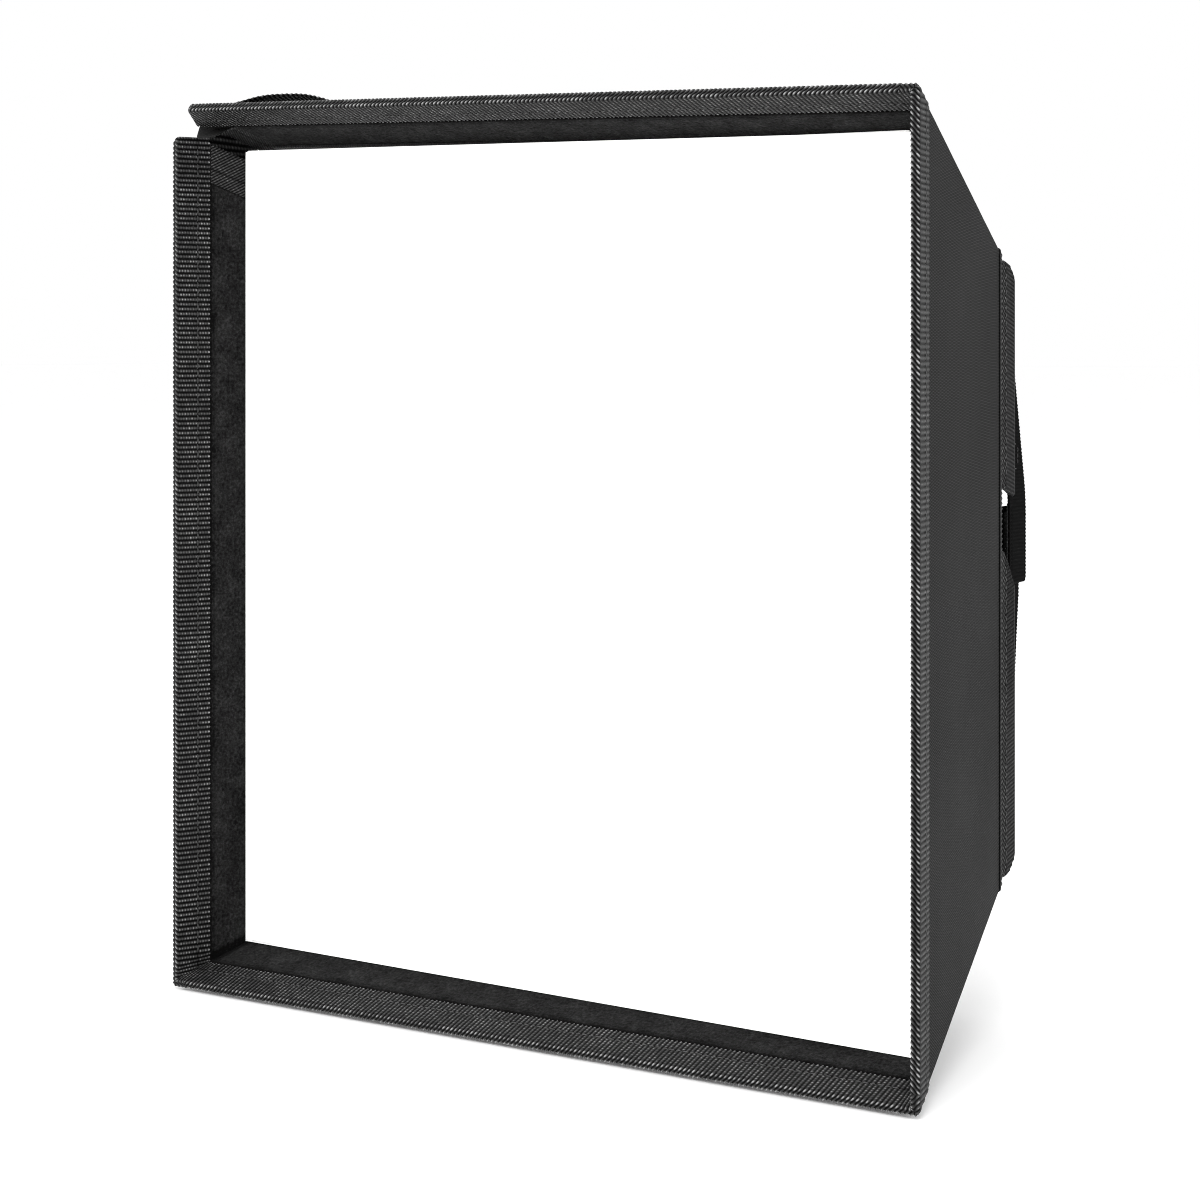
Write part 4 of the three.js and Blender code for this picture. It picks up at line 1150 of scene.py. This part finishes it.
for side, sg in (("right", 1), ("left", -1)):
    fl = FLAPS[side]
    a, b = sorted((sg * -4.0, sg * 25.5))
    ob = pad(f"hook_pad_{side}", fl.P, a, b, F0 + 1, F1 - 1, 5.0, 4.2, HOOK, 401, 0.08, 1)
    done(ob, [f"retaining_hook_pad_{side}"], body=f"tongue_{side}")
    a, b = sorted((sg * -8.0, sg * 22.0))
    ob = pad(f"loop_pad_{side}", fl.P, a, b, F0 + 1, F1 - 1, 5.3, 6.05, PILE, 405, 0.16, -1)
    done(ob, [f"retaining_loop_pad_{side}"], body=f"flap_{side}_lower")
ob = pad("corner_hooks", top.P, 55.0, 85.0, 20.5, 43.5, -0.48, -1.25, HOOK, 411, 0.06, 1)
done(ob, ["corner_hook_pad"], body="corner_strap")
ob = pad("corner_loops", top.P, 50.0, 92.0, 18.5, 45.5, -0.2, 0.5, PILE, 415, 0.14, -1)
done(ob, ["corner_loop_patch"], body="leaf_top")

# ------------------------------------------------------------------ corner strap
MID = 32.0
def on_left(z, out):
    return left.P(np.array(-z), np.array(MID), np.array(-out)), 0.0
def on_top(x, h):
    return top.P(np.array(-x), np.array(MID), np.array(-h)), 1.0
def between(x, z, k):
    y = on_left(160, 0)[0][1] * (1 - k) + on_top(-160, 0)[0][1] * k
    return np.array([x, y, z]), k


stations = [on_left(106, 0.2), on_left(120, 0.2), on_left(134, 0.2), on_left(146, 0.8), on_left(153, 1.2), on_left(162, 1.7),
            between(-174.6, 172, 0.15), between(-175.8, 179, 0.3), between(-174.4, 185.2, 0.5),
            on_top(-167.5, 9.4), on_top(-155, 11.9), on_top(-142, 12.5), on_top(-130, 12.0), on_top(-119, 9.9),
            on_top(-108, 7.0), on_top(-100, 4.9), on_top(-93, 3.1), on_top(-86, 1.9), on_top(-70, 1.9), on_top(-54, 1.9)]
C = np.array([s[0] for s in stations])
K = np.array([s[1] for s in stations])
seg = np.concatenate([[0], np.cumsum(np.linalg.norm(np.diff(C, axis=0), axis=1))])


def catmull(x, xs, ys):
    """Smooth curve through the stations."""
    t = np.zeros_like(ys)
    t[1:-1] = (ys[2:] - ys[:-2]) / (xs[2:] - xs[:-2])[:, None]
    t[0], t[-1] = (ys[1] - ys[0]) / (xs[1] - xs[0]), (ys[-1] - ys[-2]) / (xs[-1] - xs[-2])
    i = np.clip(np.searchsorted(xs, x, side="right") - 1, 0, len(xs) - 2)
    h = (xs[i + 1] - xs[i])
    f = (x - xs[i]) / h
    f, h = f[:, None], h[:, None]
    return ((2 * f ** 3 - 3 * f ** 2 + 1) * ys[i] + (f ** 3 - 2 * f ** 2 + f) * h * t[i]
            + (-2 * f ** 3 + 3 * f ** 2) * ys[i + 1] + (f ** 3 - f ** 2) * h * t[i + 1])


SS = np.linspace(0, seg[-1], odd(seg[-1], 0.33, 1))
CC = catmull(SS, seg, C)
KK = np.interp(SS, seg, K)
TT = np.gradient(CC, SS, axis=0)
TT /= np.linalg.norm(TT, axis=1)[:, None]
WW = (1 - KK)[:, None] * left.s + KK[:, None] * top.s
WW /= np.linalg.norm(WW, axis=1)[:, None]
NN = np.cross(TT, WW)
NN /= np.linalg.norm(NN, axis=1)[:, None]
if NN[-1] @ top.n > 0:
    NN = -NN


def strap_place(s, v, n):
    i = np.clip(np.round(s / (SS[1] - SS[0])).astype(int), 0, len(SS) - 1)
    return CC[i] + (v * 25.0)[..., None] * WW[i] + n[..., None] * NN[i]


ob = ribbon("corner_webbing", strap_place, SS, 0.5, STRAP, seg[-1], 25.0, seed=97, rnd_end=2.5, bead=1.6, p=2.7, high=0.22, low=0.26,
            boxes=[(3, 24, 3, 22), (seg[-1] - 34, seg[-1] - 4, 2.5, 22.5)])
hinge = left.P(np.array(-135.2), np.array(MID), np.array(-0.5))
done(ob, ["corner_strap", "corner_strap_sewn_end"],
     blend=("leaf_left", "corner_strap", hinge - left.x * -0.8, hinge + left.x * -5.0))

# ------------------------------------------------------------------ diffuser
DIFF_Y, DIFF_T, DIFF_TILT = 29.2, 0.6, 5.6
stand = 4.4


def half_at(rear, slope, y):
    return R2 - ((R2 - rear) * y) / DEPTH - stand / slope


yl, yr = DIFF_Y + DIFF_T, DIFF_Y + DIFF_T - DIFF_TILT
xl, xr = half_at(RW, sS[1], yl), half_at(RW, sS[1], yr)
zl, zr = half_at(RH, sT[1], yl), half_at(RH, sT[1], yr)
rise = 2 * R2 * math.tan(LIFT) * 0.85


def sheet_y(x):
    return DIFF_Y - DIFF_TILT * (x + xl) / (xl + xr)


n = 181
xs = np.linspace(-xl, xr, n)
ztop = np.interp(xs, [-xl, -xl + 1, xr], [zl + rise - 3.3, zl + rise - 2.6, zr - 1.4])
zbot = -np.interp(xs, [-xl, xr], [zl, zr])
tz = np.linspace(0, 1, n)
X = xs[:, None] + 0 * tz[None, :]
Z = zbot[:, None] + (ztop - zbot)[:, None] * tz[None, :]
d = np.minimum.reduce([X + xl, xr - X, Z - zbot[:, None], ztop[:, None] - Z])
wr = 0.5 * fbm(X / 70.0, Z / 90.0, 501, 3) + 0.22 * fbm(X / 16.0, Z / 60.0, 511, 2) * (1 - smooth(d, 8, 40))
dip = (wr + 0.35) * smooth(d, 1.0, 12.0)
roll = 0.15 * (1 - smooth(d, 0.0, 0.8))
front = np.stack([X, sheet_y(X) + 0.05 - dip * 0.6 + roll, Z], -1)
backp = np.stack([X, sheet_y(X) + 0.55 - dip * 0.6 - roll * 0.5, Z], -1)
ob = slab("diffuser_cloth_sheet", front, backp, np.stack([X, Z], -1), 0 * X + 0.5, DIFFUSER, (1, 1))
done(ob, ["diffuser_sheet"], body="diffuser")


def border(name, leaf, z0, z1, y0, y1, mat, seed, replaces, amp, front=None):
    ends = ENDS[leaf.name]
    cut = {"top": 15.5, "left": 14.5}
    def lim(sign, Y, Z):
        end = ends[0 if sign < 0 else 1]
        if end == "fold":
            return sign * (leaf.w(Y) - 1.6 - Z - 1.2)
        return sign * (leaf.w(Y) - cut[leaf.name])
    ny = odd(y1 - y0, 0.8, 2)
    Y = np.linspace(0, 1, ny)[None, :]
    xlo, xhi = lim(-1, y0 + (y1 - y0) * Y, z1), lim(1, y0 + (y1 - y0) * Y, z1)
    nx = odd(float(np.mean(xhi - xlo)), 0.8, 2)
    t = np.linspace(0, 1, nx)[:, None]
    X = xlo + (xhi - xlo) * t
    start = np.clip(front(X), 0, y1 - 2) if front else y0 + 0 * X
    Y = start + (y1 - start) * Y
    h = amp * fbm(X / 1.6, Y / 1.6, seed, 2) if amp < 0.2 else amp * 0.4 * fbm(X / 18.0, Y / 12.0, seed, 2)
    topP = leaf.P(X, Y, z1 + h)
    botP = leaf.P(X[::2, ::2], Y[::2, ::2], z0 + 0 * X[::2, ::2])
    ob = slab(name, topP, botP, np.stack([X, Y], -1), 0 * X + 0.5, mat, (2, 2))
    return done(ob, replaces, body="diffuser")


for i, (key, leaf) in enumerate(LEAVES.items()):
    k = leaf.L / DEPTH
    y0 = (yr if key == "right" else yl) * k + 2.2
    # the white border starts at the sheet's edge, and further back where the
    # lifted top leaf draws away from it
    front = {
        "bottom": lambda X, k=k: (sheet_y(X) + DIFF_T) * k + 1.3,
        "top": lambda X, k=k: (sheet_y(-X) + DIFF_T) * k + 1.3 + 12.0 * np.clip((X + 180) / 360, 0, 1),
    }.get(key)
    border(f"diffuser_hooks_{key}", leaf, 4.32, 5.2, y0, y0 + 20, HOOK, 601 + i, [f"diffuser_hook_tape_{key}"], 0.06)
    border(f"diffuser_border_{key}", leaf, 5.28, 5.7, y0 - 0.9, y0 + 21.5, DIFFUSER, 611 + i, [], 0.25, front)

# ------------------------------------------------------------------ stitches
def stitches(name, lines, mat, body, pitch=3.1, length=2.3, r=0.2):
    """Rows of thread. Each line is (P(t in mm) -> points, normals, length mm)."""
    rings, sides = 5, 6
    blocks_q, blocks_t, cos, uvs = [], [], [], []
    base = 0
    for fn, total, *opt in lines:
        count = int((total - length) // pitch)
        if count < 1:
            continue
        s0 = (np.arange(count) * pitch + (total - count * pitch) / 2)[:, None]
        f = np.linspace(0, 1, rings)[None, :]
        s = s0 + f * length
        c, nn = fn(s)
        tt = np.gradient(c, axis=1)
        tt /= np.linalg.norm(tt, axis=-1)[..., None]
        bb = np.cross(tt, nn)
        bb /= np.linalg.norm(bb, axis=-1)[..., None]
        arch = (np.sin(np.pi * f) * 0.55 - 0.35) * r * 2
        c = c + arch[..., None] * nn
        rad = r * (0.45 + 0.55 * np.sin(np.pi * f) ** 0.5)
        a = np.linspace(0, 2 * np.pi, sides, endpoint=False)
        ring = (c[:, :, None, :] + (rad[..., None] * np.cos(a))[..., None] * nn[:, :, None, :]
                + (rad[..., None] * np.sin(a))[..., None] * bb[:, :, None, :])
        cnt = ring.shape[0]
        vv = ring.reshape(-1, 3)
        start = base + (np.arange(cnt) * rings * sides)[:, None]
        for k in range(rings - 1):
            for j in range(sides):
                j2 = (j + 1) % sides
                q = np.array([k * sides + j, k * sides + j2, (k + 1) * sides + j2, (k + 1) * sides + j])
                blocks_q.append(start + q[None])
        blocks_t.append(start + np.arange(sides)[::-1][None])
        blocks_t.append(start + ((rings - 1) * sides + np.arange(sides))[None])
        uvs.append(np.stack([np.repeat(s.ravel(), sides), np.tile(a, cnt * rings)], -1))
        cos.append(vv)
        base += len(vv)
    co = np.vstack(cos)
    ob = add_mesh(name, co, [np.vstack(blocks_q), np.vstack(blocks_t)], np.vstack(uvs), np.full(len(co), 0.5), mat)
    return done(ob, body=body)


def row(P, n, x0, x1, y, z, lean=0.0):
    """A stitch line at constant Y from x0 to x1."""
    total = abs(x1 - x0)
    sg = 1 if x1 > x0 else -1
    def fn(s):
        X = x0 + sg * s
        Y = y + lean * s
        return P(X, Y, z + 0 * X), np.broadcast_to(n, (*s.shape, 3))
    return fn, total


def line2(P, n, a, b, z):
    """A stitch line between two points of a flat piece."""
    a, b = np.array(a, float), np.array(b, float)
    total = np.linalg.norm(b - a)
    def fn(s):
        X = a[0] + (b[0] - a[0]) * s / total
        Y = a[1] + (b[1] - a[1]) * s / total
        return P(X, Y, z + 0 * X), np.broadcast_to(n, (*s.shape, 3))
    return fn, total


for key, leaf in LEAVES.items():
    ends = ENDS[key]
    lines = []
    reach = lambda sign, y: sign * (leaf.w(y) - 7.5) if ends[0 if sign < 0 else 1] == "fold" else rim_end(leaf, sign, y) - sign * 3.0
    # the rim tape is sewn through: one line on each leg
    lines.append(row(leaf.P, leaf.n, reach(-1, 10.0), reach(1, 10.0), 10.0, 3.45))
    lines.append(row(leaf.P, -leaf.n, reach(-1, 10.0), reach(1, 10.0), 10.0, 0.05))
    for y in (50.5,):
        e0 = 7.5 if ends[0] == "fold" else ends[0] + 18.0
        e1 = 7.5 if ends[1] == "fold" else ends[1] + 18.0
        lines.append(row(leaf.P, leaf.n, -(leaf.w(y) - e0), leaf.w(y) - e1, y, 3.95))
    stitches(f"stitches_{key}", lines, THREAD, f"leaf_{key}")

for key, body in (("bottom", "leaf_bottom"), ("top", "flap_top")):
    fl = FLAPS[key]
    stitches(f"collar_stitches_{key}", [row(fl.P, -fl.n, -118, 118, 5.0, F_OUT - 0.02), row(fl.P, -fl.n, -118, 118, 13.6, F_OUT - 0.02),
                                        row(fl.P, fl.n, -118, 118, 5.0, F_IN + 0.02)], THREAD, body)
for side, sg in (("right", 1), ("left", -1)):
    fl = FLAPS[side]
    stitches(f"collar_stitches_{side}_upper", [row(fl.P, -fl.n, sg * 36, sg * (END - 3), 5.0, F_OUT - 0.02), row(fl.P, fl.n, sg * 36, sg * (END - 3), 5.0, F_IN + 0.02)],
             THREAD, f"flap_{side}_upper")
    stitches(f"collar_stitches_{side}_lower", [row(fl.P, -fl.n, -sg * (END - 3), sg * 3, 5.0, F_OUT - 0.02), row(fl.P, fl.n, -sg * (END - 3), sg * 3, 5.0, F_IN + 0.02)],
             THREAD, f"flap_{side}_lower")
    # box stitching of the retaining webbing
    b = []
    for z0, z1, y0, y1 in ((39, 49, F0 - 1.0, F0 + 9.0),):
        for p, q in (((z0, y0), (z1, y0)), ((z1, y0), (z1, y1)), ((z1, y1), (z0, y1)), ((z0, y1), (z0, y0))):
            b.append(line2(fl.P, -fl.n, (sg * p[0], p[1]), (sg * q[0], q[1]), 3.06))
            b.append(line2(fl.P, fl.n, (sg * p[0], p[1]), (sg * q[0], q[1]), 4.12))
    stitches(f"retainer_stitches_{side}", b, THREAD, f"flap_{side}_upper", pitch=2.4, length=1.8, r=0.17)
# box stitching at the sewn end of the corner strap, and round its loop patch
b = []
for p, q in (((-109, 22.5), (-130, 22.5)), ((-130, 22.5), (-130, 41.5)), ((-130, 41.5), (-109, 41.5)), ((-109, 41.5), (-109, 22.5)), ((-109, 22.5), (-130, 41.5)), ((-109, 41.5), (-130, 22.5))):
    b.append(line2(left.P, -left.n, p, q, -0.75))
stitches("corner_strap_stitches", b, THREAD, "leaf_left", pitch=2.6, length=2.0)
b = []
for p, q in (((52, 20.3), (90, 20.3)), ((90, 20.3), (90, 43.7)), ((90, 43.7), (52, 43.7)), ((52, 43.7), (52, 20.3))):
    b.append(line2(top.P, -top.n, p, q, -0.15))
stitches("loop_patch_stitches", b, THREAD, "leaf_top", pitch=2.6, length=2.0)
b = []
for p, q in (((57, 22.3), (83, 22.3)), ((83, 22.3), (83, 41.7)), ((83, 41.7), (57, 41.7)), ((57, 41.7), (57, 22.3))):
    b.append(line2(top.P, -top.n, p, q, -2.45))
stitches("hook_pad_stitches", b, THREAD, "corner_strap", pitch=2.6, length=2.0)

# ------------------------------------------------------------------ studio
def floor_material():
    m, nt, out = nodes_of("studio_floor")
    g = G(nt)
    obj = g.n("ShaderNodeTexCoord").outputs["Object"]
    n = g.noise(obj, 6.0, 4.0)
    col = g.mix(n, (0.93, 0.93, 0.93), (0.95, 0.95, 0.95))
    b = g.bsdf(color=col, rough=0.9, spec=0.02)
    b.inputs["Emission Color"].default_value = (1, 1, 1, 1)
    b.inputs["Emission Strength"].default_value = 0.06
    nt.links.new(b.outputs[0], out.inputs[0])
    return m


me = bpy.data.meshes.new("studio_floor")
S = 40.0
z = CAD_BOX[0][2] - 0.0012
me.from_pydata([(-S, -S, z), (S, -S, z), (S, S, z), (-S, S, z)], [], [(0, 1, 2, 3)])
me.materials.append(floor_material())
floor = bpy.data.objects.new("studio_floor", me)
bpy.context.scene.collection.objects.link(floor)

world = bpy.data.worlds.new("studio")
world.use_nodes = True
world.node_tree.nodes["Background"].inputs[0].default_value = (1, 1, 1, 1)
world.node_tree.nodes["Background"].inputs[1].default_value = 1.0
bpy.context.scene.world = world


def area(name, loc, target, size, power, color=(1, 1, 1)):
    d = bpy.data.lights.new(name, "AREA")
    d.shape, d.size, d.size_y = "RECTANGLE", size[0], size[1]
    d.energy, d.color = power, color
    o = bpy.data.objects.new(name, d)
    o.location = loc
    from mathutils import Vector
    o.rotation_mode = "QUATERNION"
    o.rotation_quaternion = (Vector(target) - Vector(loc)).to_track_quat("-Z", "Y")
    bpy.context.scene.collection.objects.link(o)
    return o


area("key", (0.9, -2.0, 1.5), (0, 0, 0), (1.2, 1.2), 45)
area("fill", (-1.8, -1.4, 0.7), (0, 0, 0), (1.0, 1.4), 18)
area("rim_light", (1.9, 0.9, 1.1), (0, 0, 0), (0.8, 1.2), 16)

scene = bpy.context.scene
scene.view_settings.view_transform = "Standard"
scene.view_settings.look = "None"
scene.view_settings.exposure = 0.0
# the weave is only a few points wide in the picture, so it is kept sharp
scene.cycles.filter_width = 1.0
scene.cycles.denoising_prefilter = "NONE"

# ------------------------------------------------------------------ camera
# Eye level and level lens, with the picture shifted down on the sensor so that
# the hood's upright edges stay upright.
H, theta = 0.36, 0.6325
X0, Z0, ZC = -0.0945, 3.1487, 0.2417
rim = SHIFT / 1000
cam = bpy.data.cameras.new("camera")
cam.sensor_width, cam.lens = 36.0, 88.68
cam.clip_start, cam.clip_end = 0.05, 100
co = bpy.data.objects.new("camera", cam)
ct, st = math.cos(theta), math.sin(theta)
co.location = (rim[0] + (-X0 * ct + Z0 * st) * H, rim[1] + (-X0 * st - Z0 * ct) * H, rim[2] + ZC * H)
co.rotation_euler = (math.pi / 2, 0, theta)
scene.collection.objects.link(co)
scene.camera = co
spot = bpy.data.objects.new("camera_spot", None)
spot.location = co.location
scene.collection.objects.link(spot)
drv = cam.driver_add("shift_y").driver
drv.type = "SCRIPTED"
var = drv.variables.new()
var.name, var.type = "d", "LOC_DIFF"
var.targets[0].id, var.targets[1].id = co, spot
drv.expression = "-0.2087 if d < 0.01 else 0.0"

bpy.context.view_layer.update()
